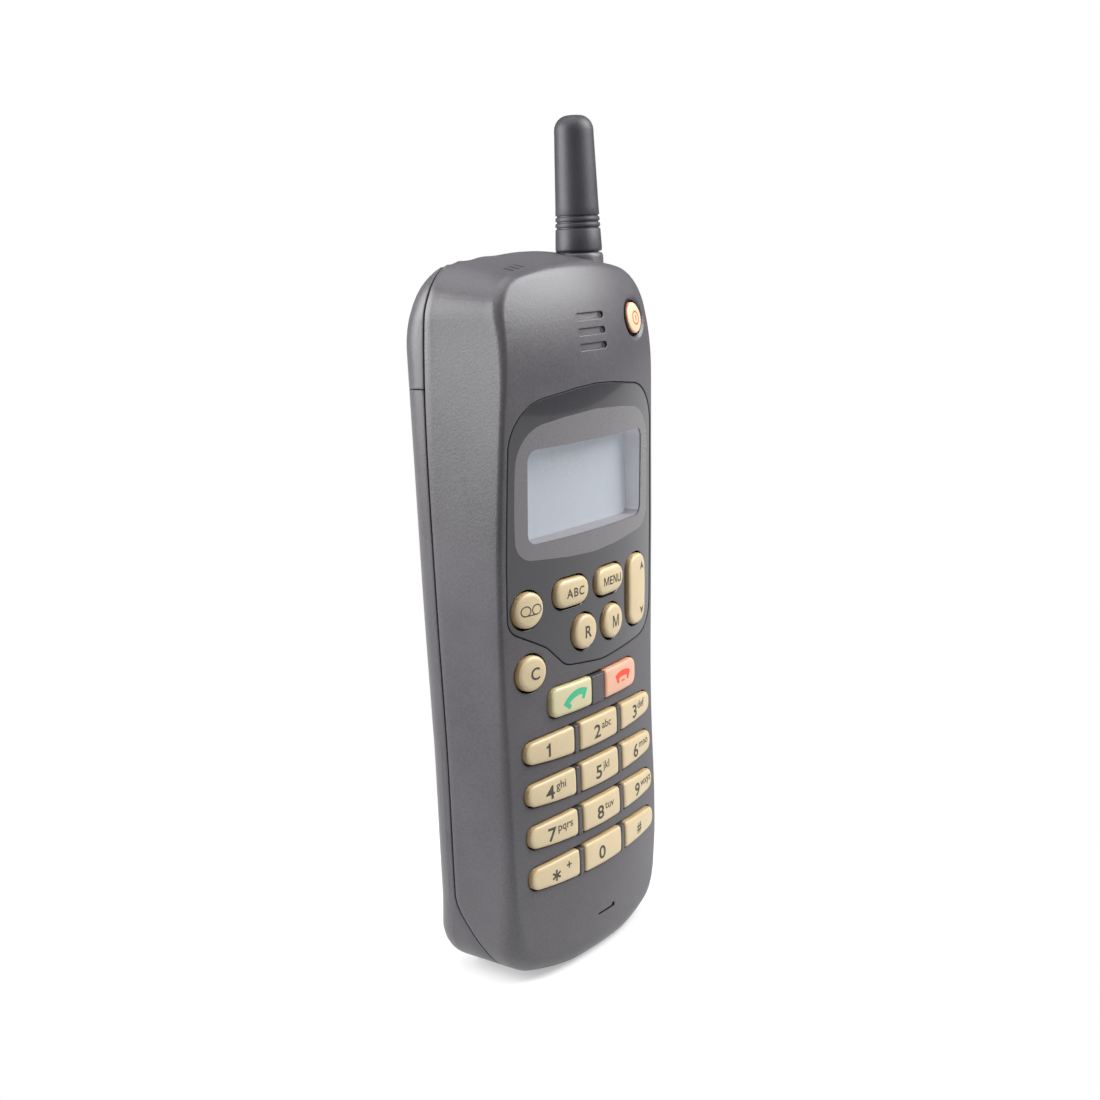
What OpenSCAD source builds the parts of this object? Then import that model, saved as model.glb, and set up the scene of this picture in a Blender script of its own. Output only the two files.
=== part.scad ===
// Bar cell phone standing on its foot, with a clip-on battery and a stub antenna.
// X is across the phone, the face looks toward -Y, Z is up.
// The origin is the middle of the foot.

/* [Body] */
// Width across the sides
body_w = 58; // [55:0.5:64]
// Height of the body without the antenna
body_h = 162; // [156:1:172]
// Greatest depth from the face to the back
body_d = 32.4; // [31.4:0.2:37]
// Thickness of the shell
wall = 2.2; // [1.9:0.1:2.6]
// Radius across the face, from side to side
cross_r = 110; // [90:5:200]
// Radius of the hollow along the face
face_r = 2344; // [1800:20:4000]
// Forward lean of the face where the hollow ends, in degrees
face_lean = 3.7; // [2.7:0.2:4.3]
// Radius of the crest above the window
turn_r = 60; // [50:2:80]
// Distance from the top down to the start of the crest
turn_drop = 27; // [25:0.5:27]
// Rounding between the face and the sides
edge_r = 3; // [2:0.2:4]
// Rounding of the back corners seen from above
plan_r = 7; // [5:0.5:8]
// Rounding of the two shoulders seen from the front
shoulder_r = 9; // [7:0.5:11]
// Radius of the bowed top seen from the front
top_bow = 95; // [80:5:160]
// How far each side draws in at the shoulders
shoulder_in = 2.1; // [1:0.1:3]
// Height where the sides start to draw in
taper_z = 99; // [84:1:114]
// Rounding of the two lower corners seen from the front
foot_r = 10; // [8:0.5:12]
// Radius of the bowed foot seen from the front
foot_bow = 85; // [70:5:160]
// How much of that bow is cut flat for standing
foot_cut = 0.5; // [0.3:0.1:0.8]
// Rounding of the back top edge seen from the side
crown_r = 21; // [16:1:22]
// Rounding of the back bottom edge seen from the side
heel_r = 7; // [4:0.5:8]
// Rounding of the front top edge
brow_r = 5; // [3.5:0.5:6]
// Rounding of the front bottom edge
chin_r = 5; // [3.5:0.5:6]

/* [Parting lines] */
// Distance of the side parting line from the back
seam_back = 7.9; // [7.5:0.1:8.4]
// Gap left at the parting lines
seam_gap = 0.25; // [0.2:0.05:0.35]
// Radius of the parting line over the top
seam_r = 19; // [16:0.5:21]
// Height where the lower sweep of the parting line ends
sweep_z = 20.5; // [18:0.5:21]
// Height where it starts
sweep_low = 4; // [3:0.5:5]
// Forward reach of the lower sweep
sweep_y = 9; // [8:0.5:9.5]
// Height of the line between the battery and the back cover
cap_z = 135.6; // [133:0.2:137]
// Clearance between parts that fit inside each other
fit = 0.15; // [0.1:0.01:0.2]
// Clearance where parts rest on each other's curved faces
rest = 0.05; // [0.03:0.01:0.08]

/* [Keys] */
// Height of the keys above the face
key_proud = 1; // [0.6:0.1:1.4]
// Clearance around each key
key_gap = 0.3; // [0.22:0.02:0.36]
// Travel of a pressed key
key_travel = 0.8; // [0.5:0.1:0.9]
// Thickness of the lip that keeps a key in
lip_t = 0.9; // [0.7:0.1:1]
// Width of that lip around the key
lip_w = 0.6; // [0.5:0.05:0.65]
// Height of the middle of the top number row
row_z = 55.2; // [53:0.2:57]
// Distance from row to row
row_pitch = 9.8; // [9.4:0.1:10.2]
// Height of a number key in the middle of a row
key_h = 6.8; // [6.2:0.1:7.2]
// Width of a middle number key
mid_w = 14.4; // [13:0.2:15]
// Width of an outer number key
outer_w = 14.8; // [14:0.2:15.4]
// Space between two keys of a row
col_gap = 1.9; // [1.85:0.05:2.4]
// Radius of the curved long edges of a row
lens_r = 285; // [200:5:500]
// Height of the call keys' row
call_z = 65; // [64.4:0.2:65.4]
// Half the space between the two call keys
call_gap = 2.6; // [2:0.1:3.2]
// Width of a call key
call_w = 13.6; // [12:0.2:14.6]
// Diameter of the round keys
round_d = 8; // [7.4:0.1:8.2]
// Height of the lower pair of round keys
pair_z = 79.2; // [78.6:0.1:79.6]
// Height of the upper function keys
func_z = 89.2; // [88.8:0.1:89.6]
// Width of the two oval keys
oval_w = 10.8; // [10:0.1:11.2]
// Height of the two oval keys
oval_h = 6.4; // [6:0.1:6.8]
// Width of the rocker key
rocker_w = 8.6; // [8:0.1:9]
// Height of the rocker key
rocker_h = 16.8; // [16:0.1:17.2]
// Rocking angle each way
rocker_tilt = 4; // [2:0.5:4.5]
// Diameter of the power key
power_d = 7; // [6.4:0.1:7.4]

/* [Window] */
// Width of the window panel
panel_w = 54.2; // [53:0.2:54.8]
// Top edge of the panel
panel_top = 134; // [133.4:0.1:134.6]
// Bottom edge of the panel
panel_low = 71.2; // [70.8:0.1:71.6]
// Thickness of the panel
panel_t = 1.1; // [0.9:0.05:1.2]
// Width of the opening over the display
view_w = 42.4; // [40:0.2:43]
// Height of the opening over the display
view_h = 20.4; // [19:0.2:21]
// Middle of the display
view_z = 112; // [111.4:0.1:112.6]
// Depth of the display behind the panel
view_deep = 5.2; // [4.6:0.1:5.4]

/* [Sound] */
// Length of an earpiece slot
slot_l = 10; // [8:0.2:11]
// Width of an earpiece slot
slot_w = 1.3; // [1:0.1:1.6]
// Distance from slot to slot
slot_pitch = 3.25; // [2.8:0.05:3.4]
// Middle of the earpiece
ear_z = 145.7; // [145:0.1:146.4]
// Radius of the earpiece
ear_r = 6.4; // [6:0.1:6.6]
// Length of the microphone slit
mic_l = 6; // [4:0.2:6.4]

/* [Antenna] */
// Distance of the antenna from the middle
ant_x = 15; // [14:0.2:15.6]
// Place of the antenna from front to back
ant_y = -2; // [-2.6:0.1:-1.4]
// Height of the antenna above its collar
ant_h = 29.6; // [24:0.2:40]
// Radius at the bottom of the antenna
ant_r = 5.3; // [4.9:0.1:5.5]
// Radius at the tip of the antenna
tip_r = 4.4; // [3.8:0.1:4.6]

/* [Battery] */
// Thickness of the battery's inner plate
lid_t = 1.2; // [1:0.1:1.3]
// Wall of the battery case
bat_wall = 1.6; // [1.4:0.1:1.8]
// Number of cells
cells = 5; // [3:1:6]
// Travel of the catch
catch_travel = 2; // [1.4:0.1:2.4]
// Width of the catch
catch_w = 16; // [14:0.5:18]

/* [Hidden] */
$fn = 48;
// the levels are those of a body of the standard height, and move with the height
base_h = 162;
tall = body_h / base_h;
crest_drop = turn_drop * tall;
taper_at = taper_z * tall;
sweep_at = sweep_z * tall;
sweep_from = sweep_low * tall;
cap_at = cap_z * tall;
row_at = row_z * tall;
row_step = row_pitch * tall;
key_tall = key_h * tall;
call_at = call_z * tall;
pair_at = pair_z * tall;
func_at = func_z * tall;
oval_tall = oval_h * tall;
rocker_tall = rocker_h * tall;
panel_high = panel_top * tall;
panel_base = panel_low * tall;
view_tall = view_h * tall;
view_at = view_z * tall;
ear_at = ear_z * tall;
// the same for what lies across, with the width
base_w = 58;
broad = body_w / base_w;
mid_wide = mid_w * broad;
outer_wide = outer_w * broad;
call_wide = call_w * broad;
oval_wide = oval_w * broad;
panel_wide = panel_w * broad;
view_wide = view_w * broad;
ant_at = ant_x * broad;
rocker_wide = rocker_w * broad;
// place of the crest joint and of the two centres the face turns about
turn_z = body_h - crest_drop;
turn_y = -body_d / 2 + turn_r * (1 - cos(face_lean));
c1_y = turn_y - face_r * cos(face_lean);
c1_z = turn_z - face_r * sin(face_lean);
c2_y = turn_y + turn_r * cos(face_lean);
c2_z = turn_z + turn_r * sin(face_lean);
function low_y(z) = c1_y + sqrt(face_r * face_r - pow(z - c1_z, 2));
function high_y(z) = c2_y - sqrt(turn_r * turn_r - pow(z - c2_z, 2));
function face_y(z) = z < turn_z ? low_y(z) : high_y(z);
function bow(x) = cross_r - sqrt(cross_r * cross_r - x * x);
skin_deep = 30;
// curves that run into each other cross by this much, so that they meet on one clear line
cross_over = 0.02;
half_w = body_w / 2;
back_y = body_d / 2;
seam_y = back_y - seam_back;
// centres of the shoulder and foot roundings, which run into the bowed top and foot
shoulder_x = half_w - shoulder_in - shoulder_r;
shoulder_z = body_h - top_bow + sqrt(pow(top_bow - shoulder_r, 2) - pow(shoulder_x, 2)) + cross_over;
foot_x = half_w - foot_r;
foot_y = foot_bow - foot_cut;
foot_z = foot_y - sqrt(pow(foot_bow - foot_r, 2) - foot_x * foot_x) - cross_over;
seam_top = body_h - 16 * tall;
brow_y = face_y(body_h - brow_r) + brow_r;
chin_y = face_y(chin_r) + chin_r;
toe_y = seam_y - sweep_y + seam_gap;
plate_t = 1.6;
inner = wall + fit;
// depths behind the face that the keys and the mat share
lip_in = wall + rest;
key_in = lip_in + lip_t;
mat_in = key_in + key_travel + 0.1;
// planes of the stack behind the keys
board_t = 1.4;
dome_t = 0.3;
mat_y = low_y(row_at - 3 * row_step) + bow(half_w - 4.5) + mat_in + 0.6;
board_y = mat_y + dome_t;
board_back = board_y + board_t;
shield_top = seam_y - plate_t - 2.3;
post_r = 2.2;
mat_low = row_at - 3 * row_step - 6;
mat_high = func_at + 6;
board_low = 16 * tall;
board_high = body_h - 8.1;
// number keys
outer_x = mid_wide / 2 + col_gap;
row_end = outer_x + outer_wide;
// window and display
glass_y = low_y(view_at) + panel_t + 0.4 + view_deep;
glass_t = 2.1;
floor_t = 1.4;
guide_y = glass_y + glass_t;
step_z = panel_base + 9.2 * tall;
step_x = -panel_wide / 2 + 12.2 * broad;
// sound
mesh_y = high_y(ear_at) + wall - 0.55;
ear_y = mesh_y + 0.4;
ear_t = 3.4;
cup_y = high_y(ear_at + ear_r + 1.2) + wall + 0.25;
mic_z = 9.7 * tall;
mic_x = 1.8;
mic_r = 2.6;
boot_z = mic_z + 2;
mic_y = low_y(boot_z - mic_r) + bow(mic_x + mic_r) + wall + rest;
plug_front = board_y - 2.4;
plug_back = board_y + 1.1;
// antenna
ant_z = body_h + 0.9;
collar_r = ant_r + 0.5;
collar_low = board_high;
// power key
power_x = 18.8 * broad;
power_z = 147.3 * tall;
// round and oval key places
pair_x = [-4.2 * broad, 6.6 * broad];
vm_x = -21.8 * broad;
vm_z = func_at - 1.5 * tall;
clear_x = -21.2 * broad;
clear_z = panel_base + 2.2 * tall;
abc_x = -8.6 * broad;
menu_x = 5.4 * broad;
rocker_x = 18.2 * broad;
rocker_z = func_at - 5 * tall;
rocker_lip = 3.2;
rocker_rest = rocker_lip * sin(rocker_tilt) + 0.1;
rocker_y = low_y(rocker_z) + bow(rocker_x) + wall + rocker_rest;
// screws
boss_at = [[half_w - wall - 3.2, row_at - 2.5 * row_step],
    [half_w - wall - 4.8, view_at + view_tall / 2 + 7.3 * tall]];
boss_r = 2;
screw_l = 8;
// battery
lid_y = seam_y + seam_gap;
bat_top = cap_at - seam_gap;
bay_low = sweep_at + 2;
bay_high = bat_top - 19.5;
bay_x = half_w - 2.6;
cell_x = half_w - plan_r + 0.2;
cell_y = lid_y + lid_t + 0.15;
cell_t = back_y - bat_wall - 0.25 - cell_y;
cell_pitch = (bay_high - bay_low - 3) / cells;
catch_y = lid_y + 2.2;
catch_t = 3.2;
catch_low = bat_top - 9.4;
spring_low = bat_top - 17.4;
pad_z = bay_low + 5.5;
pad_pitch = 6;
pads = [for (i = [-1.5 : 1.5]) i * pad_pitch];
pad_w = 3.2;
pad_h = 5.2;
block_w = 24;
block_h = 6;
// card and its reader
sim_z = 76 * tall;
card_w = 25;
card_h = 15;
card_cut = 4;
reader_rim = 0.5;
// shield can on the board
can_w = 42 * broad;
can_low = 42 * tall;
can_high = 108 * tall;
can_t = 0.5;
// ringer under the three slits
ring_x = -half_w + 12.9 * broad;
ring_w = 9;
ring_low = 147 * tall;
ring_high = 152.6 * tall;
ring_front = high_y(ring_high - 0.6) + wall + 2.2;
slit_pitch = 1.1;
slit_w = 0.5;
slit_front = -10.6;
slit_back = -6.4;
// connector in the foot
plug_w = 22;
pin_pitch = 1.8;
pin_w = 0.8;

// a shape drawn in Y and Z, made long in X about the middle
module along_x(len) {
    rotate([90, 0, 90])
        translate([0, 0, -len / 2])
            linear_extrude(len) children();
}

// a shape drawn in X and Z, made long from y0 back to y1
module along_y(y0, y1) {
    translate([0, y1, 0])
        rotate([90, 0, 0])
            linear_extrude(y1 - y0) children();
}

module box(x0, x1, y0, y1, z0, z1) {
    translate([x0, y0, z0]) cube([x1 - x0, y1 - y0, z1 - z0]);
}

// section of the face: bowed front, straight sides, rounded between
module skin_section(o) {
    r = max(edge_r - o, 0.6);
    half = half_w - o;
    vc = half - r;
    reach = cross_r - o;
    uc = cross_r - sqrt(pow(reach - r, 2) - vc * vc) - cross_over;
    tv = vc * reach / (reach - r);
    intersection() {
        translate([cross_r, 0]) circle(r = reach, $fn = 180);
        union() {
            translate([o - 1, -tv]) square([skin_deep - o + 1, 2 * tv]);
            translate([uc, -half]) square([skin_deep - uc, 2 * half]);
            for (s = [-1, 1]) translate([uc, s * vc]) circle(r = r);
        }
    }
}

// the same section for hollows, without sides of its own
module broad_section(o) {
    intersection() {
        translate([cross_r, 0]) circle(r = cross_r - o, $fn = 180);
        translate([o - 1, -half_w - 9]) square([skin_deep - o + 1, 2 * half_w + 18]);
    }
}

// turns a section about the hollow's centre, and about the crest's
module low_turn() {
    translate([0, c1_y, c1_z])
        rotate([90, 0, 90])
            rotate_extrude(angle = face_lean, $fn = 900)
                translate([face_r, 0]) children();
}

module high_turn() {
    translate([0, c2_y - 2.5 * cross_over, c2_z])
        rotate([90, 0, 90])
            rotate([0, 0, 110])
                rotate_extrude(angle = 75 + face_lean, $fn = 180)
                    translate([turn_r, 0]) mirror([1, 0]) children();
}

// everything behind the hollow part of the face, o deeper than the outside
module low_skin(o) {
    low_turn() skin_section(o);
}

// the same above the crest, where the face turns back
module high_skin(o) {
    high_turn() skin_section(o);
}

// outline seen from the front
module front_2d(o) {
    w = half_w - o;
    wt = w - shoulder_in;
    sx = shoulder_x * (top_bow - o) / (top_bow - shoulder_r);
    fx = foot_x * (foot_bow - o) / (foot_bow - foot_r);
    intersection() {
        translate([0, body_h - top_bow]) circle(r = top_bow - o, $fn = 180);
        translate([0, foot_y]) circle(r = foot_bow - o, $fn = 180);
        translate([-body_w, o]) square([2 * body_w, body_h]);
        union() {
            polygon([[-fx, -1], [fx, -1], [fx, foot_z], [w, foot_z], [w, taper_at], [wt, shoulder_z],
                [sx, shoulder_z], [sx, body_h + 1], [-sx, body_h + 1], [-sx, shoulder_z],
                [-wt, shoulder_z], [-w, taper_at], [-w, foot_z], [-fx, foot_z]]);
            for (s = [-1, 1]) {
                translate([s * shoulder_x, shoulder_z]) circle(r = shoulder_r - o, $fn = 96);
                translate([s * foot_x, foot_z]) circle(r = foot_r - o, $fn = 96);
            }
        }
    }
}

// outline seen from the side, open toward the face
module side_2d(o) {
    rear = back_y - o;
    top = body_h - o;
    polygon([[chin_y, o], [back_y - heel_r, o], [rear, heel_r], [rear, body_h - crown_r],
        [back_y - crown_r, top], [brow_y, top], [brow_y - brow_r + o, body_h - brow_r],
        [-40, body_h - brow_r], [-40, chin_r], [chin_y - chin_r + o, chin_r]]);
    translate([back_y - heel_r, heel_r]) circle(r = heel_r - o);
    translate([back_y - crown_r, body_h - crown_r]) circle(r = crown_r - o, $fn = 96);
    translate([brow_y, body_h - brow_r]) circle(r = brow_r - o);
    translate([chin_y, chin_r]) circle(r = chin_r - o);
}

// outline seen from above, open toward the face
module plan_2d(o) {
    w = half_w - o;
    c = half_w - plan_r;
    rear = back_y - o;
    translate([-w, -40]) square([2 * w, 40 + back_y - plan_r]);
    translate([-c, -40]) square([2 * c, 40 + rear]);
    for (s = [-1, 1]) translate([s * c, back_y - plan_r]) circle(r = plan_r - o);
}

// the room inside the front shell
module front_room() {
    intersection() {
        union() {
            low_turn() broad_section(wall);
            high_turn() broad_section(wall);
        }
        along_y(-40, 40) front_2d(wall);
        along_x(80) side_2d(wall);
    }
}

// the front shell's outside
module front_form() {
    intersection() {
        union() {
            low_skin(0);
            high_turn() broad_section(0);
        }
        along_y(-40, 40) front_2d(0);
        along_x(80) intersection() {
            side_2d(0);
            front_zone();
        }
    }
}

// the body without its face, for the pieces behind the parting line
module back_form(o) {
    intersection() {
        along_y(-20, 40) front_2d(o);
        along_x(80) side_2d(o);
        translate([0, 0, -5]) linear_extrude(body_h + 10) plan_2d(o);
    }
}

// side view of everything in front of the parting line
module front_zone() {
    sweep = [for (i = [0 : 8])
        [seam_y - sweep_y * (1 + cos(22.5 * i)) / 2, sweep_from + (sweep_at - sweep_from) * i / 8]];
    polygon(concat([[-45, -6], [seam_y - sweep_y, -6]], sweep,
        [[seam_y, seam_top], [seam_y - seam_r, seam_top], [seam_y - seam_r, body_h + 6],
        [-45, body_h + 6]]));
    translate([seam_y - seam_r, seam_top]) circle(r = seam_r, $fn = 96);
}

// side view of everything behind it, one gap away
module rear_zone() {
    difference() {
        translate([-30, -6]) square([60, body_h + 14]);
        translate([seam_gap, 0]) front_zone();
    }
}

// outline of one row of three number keys, and of its outer ends
module row_2d(o) {
    e = key_tall / 2 - 0.95;
    intersection() {
        translate([0, key_tall / 2 - lens_r]) circle(r = lens_r + o, $fn = 360);
        translate([0, lens_r - key_tall / 2]) circle(r = lens_r + o, $fn = 360);
        union() {
            translate([-row_end + e, -key_tall]) square([2 * (row_end - e), 2 * key_tall]);
            for (s = [-1, 1]) translate([s * (row_end - e), 0]) circle(r = e + o);
        }
    }
}

// outline of the key in column c: -1 left, 0 middle, 1 right
module number_2d(c, o) {
    x0 = c == 0 ? -mid_wide / 2 - o : outer_x - o;
    x1 = c == 0 ? mid_wide / 2 + o : row_end + o;
    intersection() {
        row_2d(o);
        if (c < 0)
            translate([-x1, -key_tall]) square([x1 - x0, 2 * key_tall]);
        else
            translate([x0, -key_tall]) square([x1 - x0, 2 * key_tall]);
    }
}

// outline of a call key, s = -1 for send and 1 for end
module call_2d(s, o) {
    h = key_tall / 2 + o;
    x0 = call_gap - o;
    x1 = call_gap + call_wide + o;
    r = 2.2 + o;
    mirror([s < 0 ? 1 : 0, 0]) {
        translate([x0, -h]) square([x1 - x0 - r, 2 * h]);
        translate([x0, -h + r]) square([x1 - x0, 2 * h - 2 * r]);
        for (t = [-1, 1]) translate([x1 - r, t * (h - r)]) circle(r = r);
    }
}

// a rectangle with round corners about the middle
module round_2d(w, h, r) {
    square([w - 2 * r, h], center = true);
    square([w, h - 2 * r], center = true);
    for (x = [-1, 1], z = [-1, 1])
        translate([x * (w / 2 - r), z * (h / 2 - r)]) circle(r = r);
}

// a slot with round ends
module slot_2d(l, w) {
    square([l - w, w], center = true);
    for (s = [-1, 1]) translate([s * (l - w) / 2, 0]) circle(d = w);
}

// outline of an oval key and of the rocker
module oval_2d(o) {
    round_2d(oval_wide + 2 * o, oval_tall + 2 * o, 2.9 + o);
}

module rocker_2d(o) {
    round_2d(rocker_wide + 2 * o, rocker_tall + 2 * o, 3.4 + o);
}

// outline of the window panel: a step low on the left goes round the clear key
module panel_2d(o) {
    w = panel_wide / 2;
    r = 9;
    q = 7;
    translate([-w - o, step_z + q]) square([2 * w + 2 * o, panel_high - r - step_z - q]);
    translate([-w + r, step_z + q]) square([2 * (w - r), panel_high + o - step_z - q]);
    translate([-w + q, step_z - o]) square([w, 2 * q]);
    translate([step_x - o, panel_base + q]) square([w - step_x + 2 * o, 3 * q]);
    translate([step_x + q, panel_base - o]) square([w - step_x - 2 * q, 2 * q]);
    polygon([[-w + q - 1, step_z - o], [step_x + 2, panel_base + 3.5 - o], [step_x + q, step_z + 2],
        [-w + q - 1, step_z + 2]]);
    for (s = [-1, 1]) translate([s * (w - r), panel_high - r]) circle(r = r + o);
    for (x = [w - q, step_x + q]) translate([x, panel_base + q]) circle(r = q + o);
    translate([-w + q, step_z + q]) circle(r = q + o);
}

module view_2d(o) {
    translate([0, view_at]) round_2d(view_wide + 2 * o, view_tall + 2 * o, 2.4);
}

// a key: its outline o wider is drawn by the child at 0, its lip by the child at 1
module key_body(proud) {
    difference() {
        union() {
            intersection() {
                low_skin(-proud);
                along_y(-30, 0) children(0);
            }
            intersection() {
                low_turn() broad_section(lip_in);
                along_y(-30, 0) children(1);
            }
        }
        low_turn() broad_section(key_in);
    }
}

module number_key(c, row) {
    z = row_at - row * row_step;
    color("wheat") key_body(key_proud) {
        translate([0, z]) number_2d(c, 0);
        translate([0, z]) number_2d(c, lip_w);
    }
}

module call_key(s) {
    color(s < 0 ? "wheat" : "lightpink") key_body(key_proud) {
        translate([0, call_at]) call_2d(s, 0);
        translate([0, call_at]) call_2d(s, lip_w);
    }
}

module round_key(x, z) {
    color("wheat") key_body(key_proud) {
        translate([x, z]) circle(d = round_d);
        translate([x, z]) circle(d = round_d + 2 * lip_w);
    }
}

module oval_key(x) {
    color("wheat") key_body(key_proud) {
        translate([x, func_at]) oval_2d(0);
        translate([x, func_at]) oval_2d(lip_w);
    }
}

// holes for all keys under the crest
module key_holes_2d() {
    for (row = [0 : 3], c = [-1 : 1])
        translate([0, row_at - row * row_step]) number_2d(c, key_gap);
    for (s = [-1, 1]) translate([0, call_at]) call_2d(s, key_gap);
    translate([clear_x, clear_z]) circle(d = round_d + 2 * key_gap);
}

module panel_holes_2d() {
    for (x = pair_x) translate([x, pair_at]) circle(d = round_d + 2 * key_gap);
    translate([vm_x, vm_z]) circle(d = round_d + 2 * key_gap);
    translate([abc_x, func_at]) oval_2d(key_gap);
    translate([menu_x, func_at]) oval_2d(key_gap);
    translate([rocker_x, rocker_z]) rocker_2d(key_gap + 0.15);
}

// the sunk strips between the keys of a row
module rib_strips_2d() {
    for (row = [0 : 3]) translate([0, row_at - row * row_step]) row_2d(key_gap);
    translate([-call_gap - 1, call_at - key_tall / 2 - key_gap])
        square([2 * call_gap + 2, key_tall + 2 * key_gap]);
}

// the four posts the screws hold in
module bosses(r, y1, h = 30) {
    for (x = [-1, 1], p = boss_at)
        translate([x * p[0], y1, p[1]]) rotate([90, 0, 0]) cylinder(r = r, h = h);
}

// front shell
module front_cover() {
    color("dimgray") difference() {
        union() {
            difference() {
                front_form();
                front_room();
            }
            intersection() {
                low_skin(wall - 0.1);
                bosses(boss_r, seam_y - plate_t - rest);
            }
        }
        bosses(1, seam_y, screw_l + 1.2);
        difference() {
            along_y(-30, 0) panel_2d(fit);
            low_skin(panel_t);
        }
        along_y(-30, 0) view_2d(0);
        along_y(-30, 0) key_holes_2d();
        along_y(-30, 0) panel_holes_2d();
        difference() {
            along_y(-30, 0) rib_strips_2d();
            low_skin(0.9);
        }
        for (i = [-1 : 1])
            along_y(-30, -8) translate([0, ear_at + i * slot_pitch]) slot_2d(slot_l, slot_w);
        translate([0, 0, ear_at]) rotate([90, 0, 0])
            translate([0, 0, 5]) cylinder(r = ear_r + fit, h = -mesh_y - 5);
        translate([power_x, 0, power_z]) {
            rotate([90, 0, 0]) cylinder(d = power_d + 2 * key_gap, h = 40);
            translate([0, high_y(power_z) + bow(power_x) + 0.9, 0])
                rotate([90, 0, 0]) cylinder(d = power_d + 2.2, h = 20);
        }
        for (i = [-1 : 1])
            translate([ring_x + i * slit_pitch, 0, 0])
                box(-slit_w / 2, slit_w / 2, slit_front, slit_back, ring_high - 0.6, body_h + 1);
        along_y(-30, mic_y + 0.1) translate([mic_x, mic_z]) slot_2d(mic_l, 0.8);
        box(-plug_w / 2 - 0.2, plug_w / 2 + 0.2, plug_front - fit, plug_back + fit, -1, wall + 1);
        translate([ant_at, ant_y, collar_low - 1]) cylinder(r = collar_r + fit, h = 20);
    }
}

// clear panel over the display and the function keys
module window_panel() {
    color("slategray") difference() {
        intersection() {
            low_skin(0);
            along_y(-30, 0) panel_2d(0);
        }
        low_skin(panel_t - rest);
        along_y(-30, 0) panel_holes_2d();
        intersection() {
            along_y(-30, 0) view_2d(3.6);
            low_skin(panel_t - 0.4);
        }
    }
}

// printed frame behind the clear panel
module window_mask() {
    color("gray") intersection() {
        difference() {
            low_skin(panel_t - 0.35);
            low_skin(panel_t - rest);
        }
        along_y(-30, 0) difference() {
            view_2d(3.45);
            view_2d(-0.3);
        }
    }
}

// tray that carries the display on the board
module lcd_holder() {
    color("silver") difference() {
        intersection() {
            low_skin(lip_in);
            along_y(-30, board_y) view_2d(3.2);
        }
        along_y(-30, guide_y) view_2d(0.6);
        along_y(-30, board_y - floor_t) view_2d(0);
    }
}

module lcd_glass() {
    color("lightsteelblue") along_y(glass_y, guide_y) view_2d(0.5);
}

module light_guide() {
    color("white") along_y(guide_y, board_y - floor_t) view_2d(-0.15);
}

// one rubber post under a key, as long as the key's travel allows
module key_post(x, z) {
    y = low_y(z - post_r) + bow(abs(x) + post_r) + mat_in + 0.1;
    translate([x, mat_y, z]) rotate([90, 0, 0]) cylinder(r = post_r, h = mat_y - y);
}

// rubber sheet under the keys
module keymat() {
    color("darkgray") difference() {
        union() {
            box(-half_w + 4.5, half_w - 4.5, mat_y - 0.6, mat_y, mat_low, mat_high);
            for (row = [0 : 3], c = [-1 : 1])
                key_post(c * (outer_x + outer_wide / 2), row_at - row * row_step);
            for (x = [-1, 1]) key_post(x * (call_gap + call_wide / 2), call_at);
            for (x = pair_x) key_post(x, pair_at);
            for (x = [abc_x, menu_x]) key_post(x, func_at);
            for (z = [-1, 1]) key_post(rocker_x, rocker_z + z * 5.4);
            key_post(vm_x, vm_z);
            key_post(clear_x, clear_z);
        }
        bosses(boss_r + 0.4, 20);
    }
}

module board_2d(o) {
    intersection() {
        front_2d(inner + 0.6 + o);
        translate([-40, board_low + o]) square([80, board_high - board_low - 2 * o]);
    }
}

module dome_sheet() {
    color("gold") difference() {
        along_y(mat_y, board_y) intersection() {
            board_2d(1);
            translate([-40, board_low]) square([80, mat_high - board_low]);
        }
        bosses(boss_r + 0.4, 20);
    }
}

module main_board() {
    color("darkgreen") difference() {
        along_y(board_y, board_back) board_2d(0);
        bosses(boss_r + 0.4, 20);
    }
}

module shield_can() {
    color("lightgray") difference() {
        box(-can_w / 2, can_w / 2, board_back, shield_top, can_low, can_high);
        box(-can_w / 2 + can_t, can_w / 2 - can_t, board_back - 1, shield_top - can_t,
            can_low + can_t, can_high - can_t);
    }
}

// cloth behind the earpiece slots, in a flat pocket of the cover
module ear_mesh() {
    color("black") translate([0, ear_y, ear_at]) rotate([90, 0, 0])
        cylinder(r = ear_r, h = ear_y - mesh_y);
}

module earpiece() {
    color("silver") translate([0, ear_y + ear_t, ear_at]) rotate([90, 0, 0]) cylinder(r = ear_r, h = ear_t);
}

// cup between the earpiece and the board
module ear_holder() {
    color("dimgray") translate([0, board_y, ear_at]) rotate([90, 0, 0]) difference() {
        cylinder(r = ear_r + 1.2, h = board_y - cup_y);
        translate([0, 0, board_y - ear_y - ear_t]) cylinder(r = ear_r + 0.05, h = ear_t + 1);
        translate([0, 0, -1]) cylinder(r = ear_r - 1.5, h = 30);
    }
}

module buzzer() {
    color("black") difference() {
        box(ring_x - ring_w / 2, ring_x + ring_w / 2, ring_front, board_y, ring_low, ring_high);
        translate([ring_x, (ring_front + board_y) / 2, ring_high - 1.6]) cylinder(r = 1.4, h = 4);
    }
}

// rubber tube between the slit in the cover and the microphone
module mic_boot() {
    color("black") translate([mic_x, plug_front, boot_z]) rotate([90, 0, 0]) difference() {
        cylinder(r = mic_r, h = plug_front - mic_y);
        translate([0, 0, -1]) cylinder(r = mic_r - 0.65, h = 20);
    }
}

module microphone() {
    color("silver") translate([mic_x, plug_front, boot_z]) rotate([90, 0, 0])
        cylinder(r = mic_r - 0.7, h = 2);
}

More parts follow.
